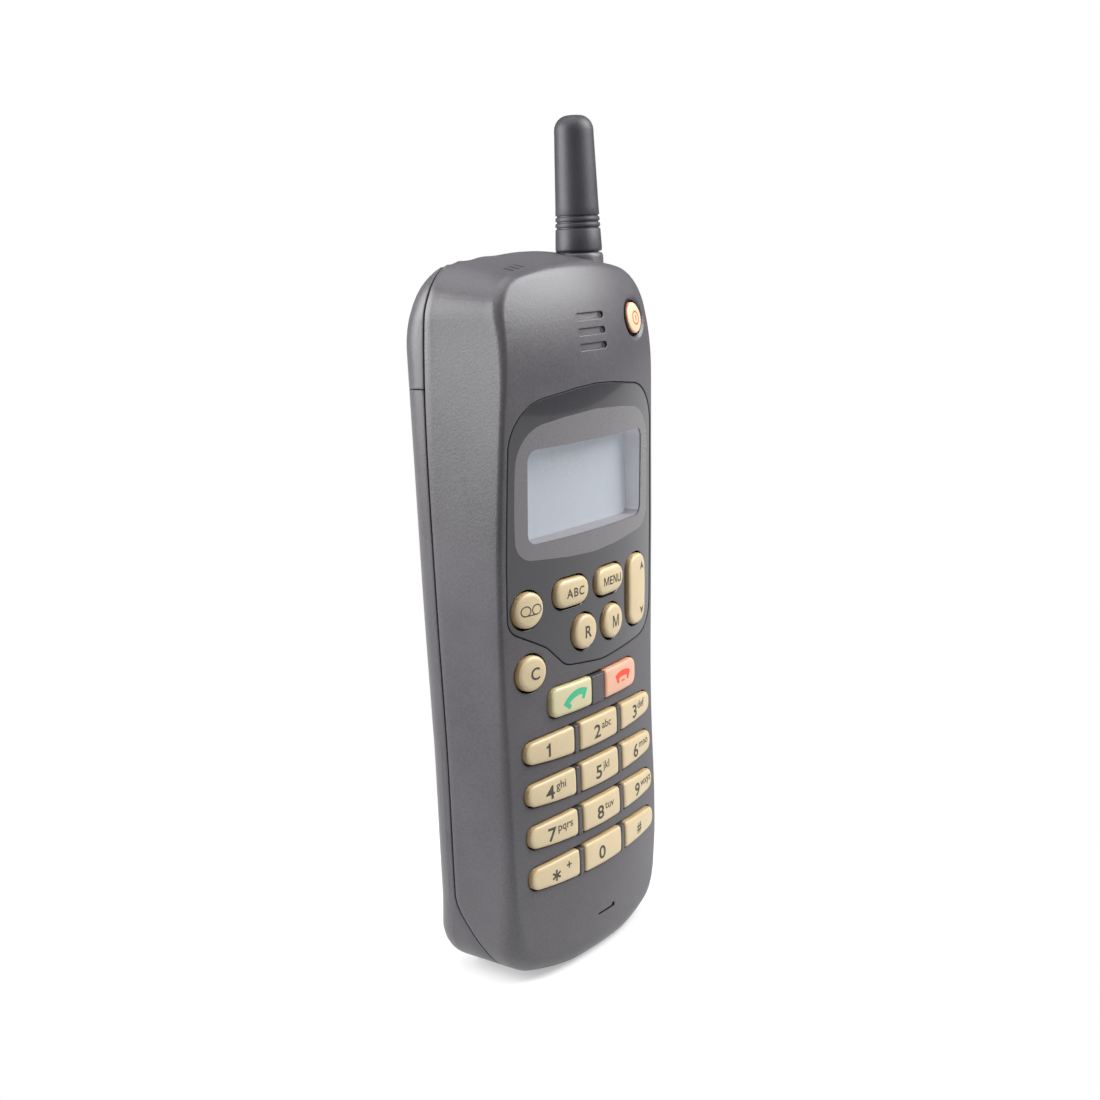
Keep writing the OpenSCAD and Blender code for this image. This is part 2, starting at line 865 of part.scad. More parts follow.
// connector in the foot
module bottom_plug() {
    color("black") difference() {
        box(-plug_w / 2, plug_w / 2, plug_front, plug_back, foot_cut, board_low);
        for (i = [-4 : 4])
            translate([i * pin_pitch, 0, 0])
                box(-pin_w / 2, pin_w / 2, plug_front + 1.1, plug_back - 1.1, 0, 5);
    }
}

module antenna_socket() {
    color("black") translate([ant_at, ant_y, 0]) difference() {
        translate([0, 0, collar_low]) cylinder(r = collar_r, h = ant_z - 0.4 - collar_low);
        translate([0, 0, collar_low + 1.5]) cylinder(r = 2.6, h = 20);
    }
}

module antenna_stud() {
    color("gold") translate([ant_at, ant_y, 0]) {
        translate([0, 0, collar_low + 1.5]) cylinder(r = 2.6, h = ant_z + 3 - collar_low - 1.5);
        translate([0, 0, ant_z + 3]) cylinder(r = 1, h = ant_h - 9);
    }
}

// tapered rubber sleeve with three grip grooves
module antenna_sleeve() {
    top = ant_z + ant_h;
    color("black") translate([ant_at, ant_y, 0]) difference() {
        rotate_extrude() difference() {
            union() {
                polygon([[0, ant_z], [ant_r, ant_z], [ant_r - 0.35, ant_z + 8],
                    [tip_r, top - 2.6], [tip_r - 2.6, top], [0, top]]);
                translate([tip_r - 2.6, top - 2.6]) circle(r = 2.6);
                translate([0, top - 5.2]) square([tip_r - 2.6, 5.2]);
            }
            translate([-9, 0]) square([9, top + 1]);
            for (i = [0 : 2]) translate([ant_r - 0.6, ant_z + 4.7 + 1.3 * i]) square([2, 0.4]);
        }
        translate([0, 0, ant_z - 1]) cylinder(r = 2.6, h = 4);
        translate([0, 0, ant_z + 2]) cylinder(r = 1, h = ant_h - 8);
    }
}

// back plate with the cap over the top
module rear_cover() {
    color("dimgray") difference() {
        union() {
            intersection() {
                back_form(inner);
                along_x(80) intersection() {
                    difference() {
                        front_zone();
                        translate([-plate_t, 0]) front_zone();
                    }
                    translate([-30, 0]) square([60, cap_at + plate_t]);
                }
            }
            difference() {
                intersection() {
                    back_form(0);
                    along_x(80) rear_zone();
                    translate([-40, -40, cap_at]) cube([80, 80, 60]);
                }
                back_form(wall);
            }
            intersection() {
                back_form(inner);
                box(-40, 40, seam_y - plate_t, 40, cap_at, cap_at + plate_t);
            }
            intersection() {
                back_form(0);
                along_x(80) rear_zone();
                box(-40, 40, -40, 40, cap_at, cap_at + plate_t);
            }
        }
        bosses(1.05, seam_y + 1);
        for (x = [-1, 1], p = boss_at)
            translate([x * p[0], seam_y + 5, p[1]]) rotate([90, 0, 0]) cylinder(r = 2, h = 6.2);
        box(-block_w / 2 - 0.6, block_w / 2 + 0.6, 0, seam_y + 1, pad_z - block_h / 2 - 0.6,
            pad_z + block_h / 2 + 0.6);
        box(-card_w / 2 - 1.1, card_w / 2 + 1.1, 0, seam_y + 1, sim_z - card_h / 2 - 1.1,
            sim_z + card_h / 2 + 1.1);
        box(-catch_w / 3, catch_w / 3, catch_y - 0.4, 30, cap_at - 1, cap_at + 1.35);
        translate([ant_at, ant_y, collar_low - 1]) cylinder(r = collar_r + fit, h = 20);
    }
}

module contact_block() {
    color("black") difference() {
        box(-block_w / 2, block_w / 2, board_back, seam_y - 0.6, pad_z - block_h / 2, pad_z + block_h / 2);
        for (x = pads) box(x - 1.1, x + 1.1, seam_y - 3.6, seam_y, pad_z - 2, pad_z + 2);
    }
}

module contact_springs() {
    color("gold") for (x = pads) {
        box(x - 1, x + 1, seam_y - 3.6, seam_y - 3.2, pad_z - 1.9, pad_z + 1.9);
        box(x - 0.6, x + 0.6, seam_y - 3.2, lid_y - rest, pad_z - 0.6, pad_z + 0.6);
    }
}

module sim_reader() {
    color("black") difference() {
        box(-card_w / 2 - reader_rim, card_w / 2 + reader_rim, shield_top, seam_y - 0.4,
            sim_z - card_h / 2 - reader_rim, sim_z + card_h / 2 + reader_rim);
        box(-card_w / 2 - 0.1, card_w / 2 + 0.1, seam_y - 1.2, seam_y, sim_z - card_h / 2 - 0.1,
            sim_z + card_h / 2 + 0.1);
    }
}

module sim_card() {
    color("ivory") along_y(seam_y - 1.2, seam_y - 0.4) difference() {
        translate([0, sim_z]) square([card_w, card_h], center = true);
        translate([card_w / 2, sim_z + card_h / 2]) rotate(45) square(card_cut, center = true);
    }
}

module screws() {
    color("silver") for (x = [-1, 1], p = boss_at)
        translate([x * p[0], seam_y - 0.2, p[1]]) rotate([90, 0, 0]) {
            difference() {
                cylinder(r = 1.9, h = 1);
                translate([-1.2, -0.25, -0.5]) cube([2.4, 0.5, 1]);
            }
            cylinder(r = 0.95, h = screw_l);
        }
}

module power_pad() {
    color("darkgray") difference() {
        intersection() {
            high_turn() broad_section(mat_in);
            translate([power_x, board_y, power_z]) rotate([90, 0, 0]) cylinder(r = 3, h = 20);
        }
    }
}

// battery shell with the bay for the cells and the pocket for the catch
module battery_case() {
    w = catch_w / 2;
    color("dimgray") difference() {
        intersection() {
            back_form(0);
            along_x(80) rear_zone();
            box(-40, 40, -40, 40, -1, bat_top);
        }
        intersection() {
            back_form(bat_wall);
            box(-40, 40, lid_y + lid_t - 0.1, 40, bay_low + 0.8, bay_high - 0.8);
        }
        box(-bay_x, bay_x, 0, lid_y + lid_t, bay_low, bay_high);
        box(-w - fit, w + fit, catch_y - fit, catch_y + catch_t + fit, spring_low, bat_top + 1);
        box(-w + 2 - fit, w - 2 + fit, catch_y, 40, catch_low - catch_travel - 0.3, bat_top + 1);
    }
}

module battery_lid() {
    color("gray") difference() {
        box(-bay_x + 0.1, bay_x - 0.1, lid_y, lid_y + lid_t, bay_low + 0.1, bay_high - 0.1);
        for (x = pads)
            box(x - pad_w / 2, x + pad_w / 2, lid_y - 1, lid_y + 0.5, pad_z - pad_h / 2, pad_z + pad_h / 2);
    }
}

module battery_cells() {
    color("seagreen") for (i = [0 : cells - 1])
        along_y(cell_y, cell_y + cell_t)
            translate([0, bay_low + 1.5 + cell_pitch * (i + 0.5)])
                round_2d(2 * cell_x, cell_pitch - 0.4, 1.5);
}

module battery_pads() {
    color("gold") for (x = pads)
        box(x - pad_w / 2 + 0.1, x + pad_w / 2 - 0.1, lid_y + 0.02, lid_y + 0.5, pad_z - pad_h / 2 + 0.1,
            pad_z + pad_h / 2 - 0.1);
}

// sliding catch at the top of the battery, with a ribbed thumb pad
module battery_catch() {
    w = catch_w / 2;
    color("black") difference() {
        union() {
            box(-w, w, catch_y, catch_y + catch_t, catch_low, bat_top - 0.2);
            box(-w + 2, w - 2, catch_y + catch_t, back_y - 0.3, catch_low, bat_top - 0.6);
            box(-w / 2, w / 2, catch_y, catch_y + catch_t, bat_top - 0.2, bat_top + 1.2);
        }
        for (i = [0 : 3])
            translate([0, 0, catch_low + 1.4 + 1.7 * i]) box(-w + 3, w - 3, back_y - 0.8, back_y + 1, 0, 0.8);
    }
}

module catch_spring() {
    n = 5;
    y = catch_y + catch_t / 2;
    len = catch_low - spring_low;
    color("silver") translate([0, y, spring_low]) {
        for (i = [0 : n - 1])
            translate([0, 0, 0.25 + (len - 0.5) * i / (n - 1)])
                rotate_extrude() translate([1, 0]) circle(r = 0.25);
        translate([1, 0, 0.25]) cylinder(r = 0.2, h = len - 0.5);
    }
}

// round key in its bowl, for power
module key_power() {
    color("wheat") difference() {
        union() {
            intersection() {
                high_skin(-0.2);
                translate([power_x, 0, power_z]) rotate([90, 0, 0]) cylinder(d = power_d, h = 30);
            }
            intersection() {
                high_turn() broad_section(lip_in);
                translate([power_x, 0, power_z]) rotate([90, 0, 0]) cylinder(d = power_d + 2 * lip_w, h = 30);
            }
        }
        high_turn() broad_section(key_in);
    }
}

module key_message() { round_key(vm_x, vm_z); }
module key_abc() { oval_key(abc_x); }
module key_menu() { oval_key(menu_x); }
module key_recall() { round_key(pair_x[0], pair_at); }
module key_memory() { round_key(pair_x[1], pair_at); }
module key_clear() { round_key(clear_x, clear_z); }
module key_send() { call_key(-1); }
module key_end() { call_key(1); }
module key_1() { number_key(-1, 0); }
module key_2() { number_key(0, 0); }
module key_3() { number_key(1, 0); }
module key_4() { number_key(-1, 1); }
module key_5() { number_key(0, 1); }
module key_6() { number_key(1, 1); }
module key_7() { number_key(-1, 2); }
module key_8() { number_key(0, 2); }
module key_9() { number_key(1, 2); }
module key_star() { number_key(-1, 3); }
module key_0() { number_key(0, 3); }
module key_hash() { number_key(1, 3); }

// rocker: its lip is short so that it can tilt about its middle
module key_scroll() {
    color("wheat") difference() {
        union() {
            intersection() {
                low_skin(-key_proud);
                along_y(-30, 0) translate([rocker_x, rocker_z]) rocker_2d(0);
            }
            intersection() {
                low_turn() broad_section(wall + rocker_rest);
                along_y(-30, 0) translate([rocker_x, rocker_z])
                    square([rocker_wide + 2 * lip_w, 2 * rocker_lip], center = true);
            }
        }
        low_turn() broad_section(key_in);
    }
}

front_cover();
window_panel();
window_mask();
lcd_holder();
lcd_glass();
light_guide();
keymat();
dome_sheet();
main_board();
shield_can();
ear_mesh();
ear_holder();
earpiece();
buzzer();
mic_boot();
microphone();
bottom_plug();
antenna_socket();
antenna_stud();
antenna_sleeve();
rear_cover();
contact_block();
contact_springs();
sim_reader();
sim_card();
screws();
power_pad();
battery_case();
battery_lid();
battery_cells();
battery_pads();
battery_catch();
catch_spring();
key_power();
key_message();
key_abc();
key_menu();
key_recall();
key_memory();
key_scroll();
key_clear();
key_send();
key_end();
key_1();
key_2();
key_3();
key_4();
key_5();
key_6();
key_7();
key_8();
key_9();
key_star();
key_0();
key_hash();
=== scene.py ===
from math import atan2, cos, exp, hypot, pi, radians, sin, sqrt, tan

import bmesh
import bpy
from mathutils import Matrix, Vector
from mathutils.bvhtree import BVHTree


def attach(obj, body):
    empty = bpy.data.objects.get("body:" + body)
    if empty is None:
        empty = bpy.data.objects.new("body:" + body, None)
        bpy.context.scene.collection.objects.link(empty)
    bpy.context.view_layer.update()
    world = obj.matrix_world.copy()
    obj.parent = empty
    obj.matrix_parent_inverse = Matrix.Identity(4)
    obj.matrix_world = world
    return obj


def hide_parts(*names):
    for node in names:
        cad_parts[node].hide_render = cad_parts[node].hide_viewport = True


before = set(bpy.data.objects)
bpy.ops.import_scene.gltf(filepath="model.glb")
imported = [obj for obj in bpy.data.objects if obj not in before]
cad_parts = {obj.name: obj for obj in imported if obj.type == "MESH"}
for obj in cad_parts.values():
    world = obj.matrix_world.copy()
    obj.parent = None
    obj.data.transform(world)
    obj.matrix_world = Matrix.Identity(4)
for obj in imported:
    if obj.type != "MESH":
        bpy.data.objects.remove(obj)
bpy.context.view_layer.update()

# All shapes are worked out in millimetres and scaled once, when a piece is finished.
MM = 0.001
TALL, BACK, CROWN_R = 161.0, 16.18, 21.0
# from the face back to the parting line the upper sides spread and the top rises by this much
SPREAD, RISE = 2.4, 3.2
TOP_BOW_Z, TOP_BOW_R = 66.0, 95.0
CROSS_R, FACE_R, TURN_R = 110.0, 2344.0, 60.0
TURN_Z, HOLLOW, CREST = 135.0, (-2355.19, -16.2637), (43.8, 138.872)
SEAM_Y, SEAM_GAP = 8.3, 0.25
CAP_Z = 135.6
ROWS = [55.2, 45.4, 35.6, 25.8]
CALL_Z = 65.0
ROW_X = 23.9
CALL_X, CALL_H, CALL_R = (2.6, 16.2), 6.8, 2.2
ROUND_R, POWER_R = 4.0, 3.5
CLEAR, POWER = (-21.2, 73.4), (18.8, 147.3)
OVAL_KEY = (10.8, 6.4, 2.9)
KEY_GAP, ROUND_GAP = 0.3, 0.5
EAR_Z, EAR_PITCH, EAR_SLOT = 145.7, 3.25, (10, 1.5)
MIC = (1.6, 9.95)
VIEW_Z, VIEW_SIZE, GLASS_Y = 112.0, (42.4, 20.4), -8.05
ANTENNA = (15, -2)


# The forms that the pieces share

def face(x, z):
    """Depth of the front: bowed across, hollow along the length, turning back over a crest."""
    bow = CROSS_R - sqrt(CROSS_R ** 2 - x * x)
    if z < TURN_Z:
        chin = 0.75 * exp(-((z - 24) / 24) ** 2)
        return HOLLOW[0] + sqrt((FACE_R + bow) ** 2 - (z - HOLLOW[1]) ** 2) - chin
    return CREST[0] - sqrt((TURN_R - bow) ** 2 - (z - CREST[1]) ** 2)


def crown(z):
    """Depth of the back, which rounds over toward the top."""
    up = max(z - TALL - RISE + CROWN_R, 0)
    return BACK - CROWN_R + sqrt(max(CROWN_R ** 2 - up * up, 0))


def crown_top(y):
    """Height at which the back's rounding ends the top, seen from the side."""
    reach = max(y - BACK + CROWN_R, 0)
    return TALL + RISE - CROWN_R + sqrt(max(CROWN_R ** 2 - reach * reach, 0))


def spread(z, start, length, power):
    """Grows from nothing at a height to one, and stays there."""
    return max(0, min(1, (z - start) / length)) ** power


def seam(z):
    """Depth of the side parting line."""
    if z < 20.5:
        return SEAM_Y - 4.5 * (1 + cos(pi * max(z - 4, 0) / 16.5))
    return SEAM_Y - 2.2 * spread(z, 105, 50, 3)


def table(z, rows):
    """Straight-line reading between (height, value) pairs."""
    for (z0, a), (z1, b) in zip(rows, rows[1:]):
        if z <= z1:
            return a + (b - a) * max(z - z0, 0) / (z1 - z0)
    return rows[-1][1]


def edge_soft(z):
    """Reach of the front edge's rounding across the face: tight beside the window."""
    return table(z, [(0, 4.5), (9, 4.2), (20, 2.0), (32, 1.3), (59, 1.1), (80, 0.9), (132, 0.9), (144, 1.2),
                     (162, 1.9)])


def edge_deep(z):
    """Depth of the same rounding along the side, in times its reach."""
    return table(z, [(0, 1.0), (9, 1.0), (20, 1.6), (36, 2.2), (80, 1.2), (135, 1.2), (155, 1.5)])


def back_soft(z):
    """Rounding of the back's long edges, as far as the wall behind the parting line allows."""
    wanted = table(z, [(0, 5.5), (10, 6.2), (26, 8), (60, 7)])
    return max(0.06, min(wanted, crown(z) - seam(z) - SEAM_GAP - 0.5))


def side_x(z):
    """Half the width: a slight waist, and sides that draw in toward the shoulders."""
    return 28.985 - 0.45 * exp(-((z - 54) / 22) ** 2) - SPREAD * spread(z, 99, 52.2, 1.25)


# Outlines in X and Z, counter-clockwise

def pairs(items):
    """Each item with the next one, and the last with the first."""
    return zip(items, items[1:] + items[:1])


def extent(points):
    """Middle, width and height of (x, z) points."""
    xs, zs = zip(*points)
    return ((min(xs) + max(xs)) / 2, (min(zs) + max(zs)) / 2), max(xs) - min(xs), max(zs) - min(zs)


def arc(cx, cz, r, a0, a1, n):
    turns = [radians(a0 + (a1 - a0) * i / n) for i in range(n + 1)]
    return [(cx + r * cos(t), cz + r * sin(t)) for t in turns]


def even(loop, step):
    """The same loop with its long stretches divided."""
    out = []
    for (x0, z0), (x1, z1) in pairs(loop):
        n = max(1, int(hypot(x1 - x0, z1 - z0) / step + 0.5))
        out += [(x0 + (x1 - x0) * i / n, z0 + (z1 - z0) * i / n) for i in range(n)]
    return out


def outward(loop):
    """Unit direction away from the loop at each of its points."""
    out = []
    for (x0, z0), (x1, z1) in zip(loop[-1:] + loop[:-1], loop[1:] + loop[:1]):
        length = hypot(x1 - x0, z1 - z0)
        out.append(((z1 - z0) / length, (x0 - x1) / length))
    return out


def rounded(corners, grow=0.0, step=1.0, turn_step=14):
    """Loop through (x, z, radius) corners, with each corner rounded and the whole grown outward."""
    n = len(corners)
    ways = []
    for i in range(n):
        x0, z0, _ = corners[i]
        x1, z1, _ = corners[(i + 1) % n]
        length = hypot(x1 - x0, z1 - z0)
        ways.append(((x1 - x0) / length, (z1 - z0) / length))
    out = []
    for i, (x, z, r) in enumerate(corners):
        (ax, az), (bx, bz) = ways[i - 1], ways[i]
        both = 1 + ax * bx + az * bz
        x += grow * (az + bz) / both
        z -= grow * (ax + bx) / both
        turn = atan2(ax * bz - az * bx, ax * bx + az * bz)
        r = max(r + grow if turn > 0 else r - grow, 0.02)
        reach = r * tan(abs(turn) / 2)
        side = 1 if turn > 0 else -1
        cx, cz = x - ax * reach - side * az * r, z - az * reach + side * ax * r
        k = max(1, int(abs(turn) / radians(turn_step) + 0.99))
        a0 = atan2(-side * ax, side * az)
        out += [(cx + r * cos(a0 + turn * j / k), cz + r * sin(a0 + turn * j / k)) for j in range(k + 1)]
    return even(out, step)


def oblong(cx, cz, w, h, r, grow=0.0, step=1.0):
    return rounded([(cx - w / 2, cz - h / 2, r), (cx + w / 2, cz - h / 2, r),
                    (cx + w / 2, cz + h / 2, r), (cx - w / 2, cz + h / 2, r)], grow, step)


def disc(cx, cz, r, n=40):
    return arc(cx, cz, r, 0, 360, n)[:-1]


def body_outline():
    """Body seen from the front: bowed foot with a flat in its middle, bowed top, round corners."""
    lean = atan2(72.57, 19) * 180 / pi
    right = [(x, max(z, 0)) for x, z in arc(0, 84.5, 85, -90 + 6.2, -lean, 7)]
    right += arc(18.985, 11.93, 10, -lean, 0, 14) + [(side_x(z), z) for z in range(14, 151, 2)]
    # the shoulder touches the leaning side and the bow of the top
    x, z = right[-1]
    tilt = atan2(side_x(z - 1) - side_x(z + 1), 2)
    up = z - TOP_BOW_Z
    r = (TOP_BOW_R ** 2 - x * x - up * up) / (2 * (TOP_BOW_R - x * cos(tilt) - up * sin(tilt)))
    cx, cz = x - r * cos(tilt), z - r * sin(tilt)
    lean = atan2(cz - TOP_BOW_Z, cx) * 180 / pi
    right += arc(cx, cz, r, tilt * 180 / pi, lean, 14)[1:] + arc(0, TOP_BOW_Z, TOP_BOW_R, lean, 90, 8)[1:-1]
    return even(right + [(-x, z) for x, z in reversed(right)], 1.6)


def row_loop(z, x0, x1, grow=0.0, soft=(2.3, 2.3)):
    """Part of a number row, whose long edges bow apart in the middle."""
    def half(x):
        return 3.4 - x * x / 570
    along = [(x0, soft[0])] + [(x, 30) for x in range(-20, 21, 4) if x0 + 3 < x < x1 - 3] + [(x1, soft[1])]
    return rounded([(x, z - half(x), r) for x, r in along]
                   + [(x, z + half(x), r) for x, r in reversed(along)], grow)


def panel_loop(grow=0.0):
    return rounded([(-10.4, 72.6, 6), (3, 70.95, 20), (26.9, 72.8, 8), (27.1, 99, 60), (26.2, 131.8, 11),
                    (0, 134.8, 60), (-26.2, 131.8, 11), (-27.1, 99, 60), (-27.1, 83.7, 4.5),
                    (-16.4, 78.15, 8)], grow, 1.2, 8)


def frame_loop():
    return rounded([(0, 96.4, 90), (24.6, 98.8, 5), (24.9, 112, 90), (24.1, 126.6, 9), (0, 129.4, 90),
                    (-24.1, 126.6, 9), (-24.9, 112, 90), (-24.6, 98.8, 5)], 0, 1.2, 8)


def view_loop(grow=0.0):
    return oblong(0, VIEW_Z, *VIEW_SIZE, 2.4, grow)


NUMBER_X = [(-ROW_X, -9.1), (-7.2, 7.2), (9.1, ROW_X)]
NUMBER_SOFT = [(2.3, 0.7), (0.7, 0.7), (0.7, 2.3)]
NUMBERS = [["1", "2", "3"], ["4", "5", "6"], ["7", "8", "9"], ["star", "0", "hash"]]


def key_loops(grow):
    """Outline of every key on the lower face, by name."""
    loops = {}
    for z, names in zip(ROWS, NUMBERS):
        for name, (x0, x1), soft in zip(names, NUMBER_X, NUMBER_SOFT):
            loops[name] = row_loop(z, x0, x1, grow, soft)
    for name, s in (("send", -1), ("end", 1)):
        a, b = sorted(s * x for x in CALL_X)
        soft = (CALL_R, 0.7) if s < 0 else (0.7, CALL_R)
        low, high = CALL_Z - CALL_H / 2, CALL_Z + CALL_H / 2
        loops[name] = rounded([(a, low, soft[0]), (b, low, soft[1]), (b, high, soft[1]), (a, high, soft[0])],
                              grow)
    loops["clear"] = disc(*CLEAR, ROUND_R + grow)
    loops["message"] = disc(-21.8, 87.7, ROUND_R + grow)
    loops["recall"] = disc(-4.2, 79.2, ROUND_R + grow)
    loops["memory"] = disc(6.6, 79.2, ROUND_R + grow)
    loops["abc"] = oblong(-8.6, 89.2, *OVAL_KEY, grow)
    loops["menu"] = oblong(5.4, 89.2, *OVAL_KEY, grow)
    loops["scroll"] = oblong(18.2, 84.2, 8.6, 16.8, 3.6, grow)
    loops["power"] = disc(*POWER, POWER_R + grow)
    return loops


PANEL_KEYS = ["message", "abc", "menu", "recall", "memory", "scroll"]


# Building with sheets and rims

def loop_edges(bm, loop):
    verts = [bm.verts.new((x, 0, z)) for x, z in loop]
    return [bm.edges.new(pair) for pair in pairs(verts)]


def cut_across(bm, geom, axis, step):
    """Cuts the geometry into strips along an axis."""
    no = Vector((axis == 0, axis == 1, axis == 2))
    spots = [v.co[axis] for v in geom if isinstance(v, bmesh.types.BMVert)]
    at = int(min(spots) / step) * step
    while at < max(spots):
        done = bmesh.ops.bisect_plane(bm, geom=geom, dist=1e-5, plane_co=no * at, plane_no=no)
        geom = done["geom"]
        at += step
    return geom


def sheet(outer, holes=(), step=1.5, lay=face):
    """A flat sheet with holes, cut into small faces and laid on a curved form."""
    bm = bmesh.new()
    edges = [e for loop in (outer, *holes) for e in loop_edges(bm, loop)]
    bmesh.ops.triangle_fill(bm, use_beauty=True, edges=edges, normal=(0, -1, 0))
    for axis in (0, 2):
        cut_across(bm, bm.verts[:] + bm.edges[:] + bm.faces[:], axis, step)
    for v in bm.verts:
        v.co.y = lay(v.co.x, v.co.z)
    return bm


def rims(bm):
    """Every open rim as an ordered list of vertices."""
    left = dict.fromkeys(e for e in bm.edges if e.is_boundary)
    loops = []
    while left:
        e = next(iter(left))
        del left[e]
        loop = list(e.verts)
        while loop[-1] is not loop[0]:
            e = next((k for k in loop[-1].link_edges if k in left), None)
            if e is None:
                break
            del left[e]
            loop.append(e.other_vert(loop[-1]))
        loops.append(loop[:-1] if loop[-1] is loop[0] else loop)
    return loops


def rim_near(bm, x, z, size=None):
    """The rim whose middle is nearest to a point; size tells apart rims about the same middle."""
    def miss(loop):
        (cx, cz), width, _ = extent([(v.co.x, v.co.z) for v in loop])
        return hypot(cx - x, cz - z) + (abs(width - size) if size else 0)
    return min(rims(bm), key=miss)


def rim_about(bm, loop):
    """The rim that belongs to an outline."""
    middle, width, _ = extent(loop)
    return rim_near(bm, *middle, width)


def loop_sides(loop):
    """The edges along a closed run of vertices."""
    return [next(e for e in a.link_edges if e.other_vert(a) is b) for a, b in pairs(loop)]


def away(loop):
    """Direction in X and Z from each rim vertex away from the sheet."""
    flat = []
    for (a, b), e in zip(pairs(loop), loop_sides(loop)):
        n = Vector((b.co.z - a.co.z, 0, a.co.x - b.co.x)).normalized()
        inner = e.link_faces[0].calc_center_median() - (a.co + b.co) / 2
        flat.append(-n if n.dot(inner) > 0 else n)
    return [(p + q) / max(1 + p.dot(q), 0.4) for p, q in zip(flat[-1:] + flat[:-1], flat)]


def ring(bm, loop, places, material=0):
    """Draws a rim out by one row of faces to the given places."""
    made = bmesh.ops.extrude_edge_only(bm, edges=loop_sides(loop))["geom"]
    fresh = {v for v in made if isinstance(v, bmesh.types.BMVert)}
    new = [next(e.other_vert(v) for e in v.link_edges if e.other_vert(v) in fresh) for v in loop]
    for f in made:
        if isinstance(f, bmesh.types.BMFace):
            f.material_index = material
    for v, co in zip(new, places):
        v.co = co
    return new


def lip(bm, loop, profile, lay=face, material=0):
    """Carries a rim along (away, deep) steps measured on the form it lies on."""
    ways = away(loop)
    flat = [v.co.copy() for v in loop]
    for out, deep in profile:
        spots = [p + w * out for p, w in zip(flat, ways)]
        loop = ring(bm, loop, [Vector((p.x, lay(p.x, p.z) + deep, p.z)) for p in spots], material)
    return loop


def edge_profile(band, r, deep, n=3):
    """A flat band, a quarter round and a wall, for lip()."""
    turn = [radians(90 * i / n) for i in range(1, n + 1)]
    flat = [(band, 0)] if band > 0 else []
    return flat + [(band + r * sin(t), r * (1 - cos(t))) for t in turn] + [(band + r, deep)]


def fill(bm, loop, material=0):
    made = bmesh.ops.triangle_fill(bm, use_beauty=True, edges=loop_sides(loop), normal=(0, -1, 0))["geom"]
    for f in made:
        if isinstance(f, bmesh.types.BMFace):
            f.material_index = material
    return made


def join(bm, other):
    """Adds another bmesh to this one."""
    mesh = bpy.data.meshes.new("joined")
    other.to_mesh(mesh)
    other.free()
    bm.from_mesh(mesh)
    bpy.data.meshes.remove(mesh)


def islands(bm):
    left = dict.fromkeys(bm.faces)
    while left:
        found = [next(iter(left))]
        del left[found[0]]
        for f in found:
            for e in f.edges:
                for g in e.link_faces:
                    if g in left:
                        del left[g]
                        found.append(g)
        yield found


def piece(bm, name, materials, body, replaces=(), slot=None, toward=(0, -1, 0), sharp=38, merge=0.0004):
    """Finishes a piece: merged, faces outward, smooth, in metres, on its body."""
    bmesh.ops.remove_doubles(bm, verts=bm.verts, dist=merge)
    bmesh.ops.recalc_face_normals(bm, faces=bm.faces)
    for found in islands(bm):
        total = sum((f.normal * f.calc_area() for f in found), Vector())
        if total.dot(Vector(toward)) < -0.02 * sum(f.calc_area() for f in found):
            bmesh.ops.reverse_faces(bm, faces=found)
    bm.transform(Matrix.Scale(MM, 4))
    mesh = bpy.data.meshes.new(name)
    bm.to_mesh(mesh)
    bm.free()
    mesh.shade_smooth()
    mesh.set_sharp_from_angle(angle=radians(sharp))
    for m in materials:
        mesh.materials.append(m)
    obj = bpy.data.objects.new(name, mesh)
    bpy.context.scene.collection.objects.link(obj)
    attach(obj, body)
    if replaces:
        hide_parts(*replaces)
    return obj


# Finishes

class Wire:
    """A shader value that takes part in sums; other nodes come from add()."""

    def __init__(self, tree, socket):
        self.tree, self.socket = tree, socket

    def add(self, kind, settings, values, out=0):
        node = self.tree.nodes.new(kind)
        for key, value in settings.items():
            setattr(node, key, value)
        for key, value in values.items():
            if isinstance(value, Wire):
                self.tree.links.new(value.socket, node.inputs[key])
            else:
                node.inputs[key].default_value = value
        return Wire(self.tree, node.outputs[out])

    def maths(self, op, a, b):
        return self.add("ShaderNodeMath", {"operation": op}, {0: a, 1: b})

    def __add__(self, b):
        return self.maths("ADD", self, b)

    def __sub__(self, b):
        return self.maths("SUBTRACT", self, b)

    def __rsub__(self, b):
        return self.maths("SUBTRACT", b, self)

    def __mul__(self, b):
        return self.maths("MULTIPLY", self, b)

    __radd__, __rmul__ = __add__, __mul__

    def noise(self, scale, detail=3.0, rough=0.55):
        return self.add("ShaderNodeTexNoise", {}, {"Vector": self, "Scale": scale, "Detail": detail,
                                                   "Roughness": rough})

    def band(self, low, high, to_low=0.0, to_high=1.0):
        return self.add("ShaderNodeMapRange", {"clamp": True}, {
            "Value": self, "From Min": low, "From Max": high, "To Min": to_low, "To Max": to_high})

    def blend(self, a, b):
        return self.add("ShaderNodeMix", {"data_type": "RGBA"}, {0: self, 6: a, 7: b}, 2)


def shade(name):
    """A new material, its shader and its object coordinates."""
    m = bpy.data.materials.new(name)
    m.use_nodes = True
    tree = m.node_tree
    shader = tree.nodes["Principled BSDF"]
    where = Wire(tree, tree.nodes.new("ShaderNodeTexCoord").outputs["Object"])
    return m, shader, where


def wire_to(shader, **inputs):
    for key, value in inputs.items():
        value.tree.links.new(value.socket, shader.inputs[key.replace("_", " ")])


def rgb(r, g, b):
    """Colour written in screen values from 0 to 255."""
    def lin(c):
        c /= 255
        return c / 12.92 if c < 0.04045 else ((c + 0.055) / 1.055) ** 2.4
    return (lin(r), lin(g), lin(b), 1)


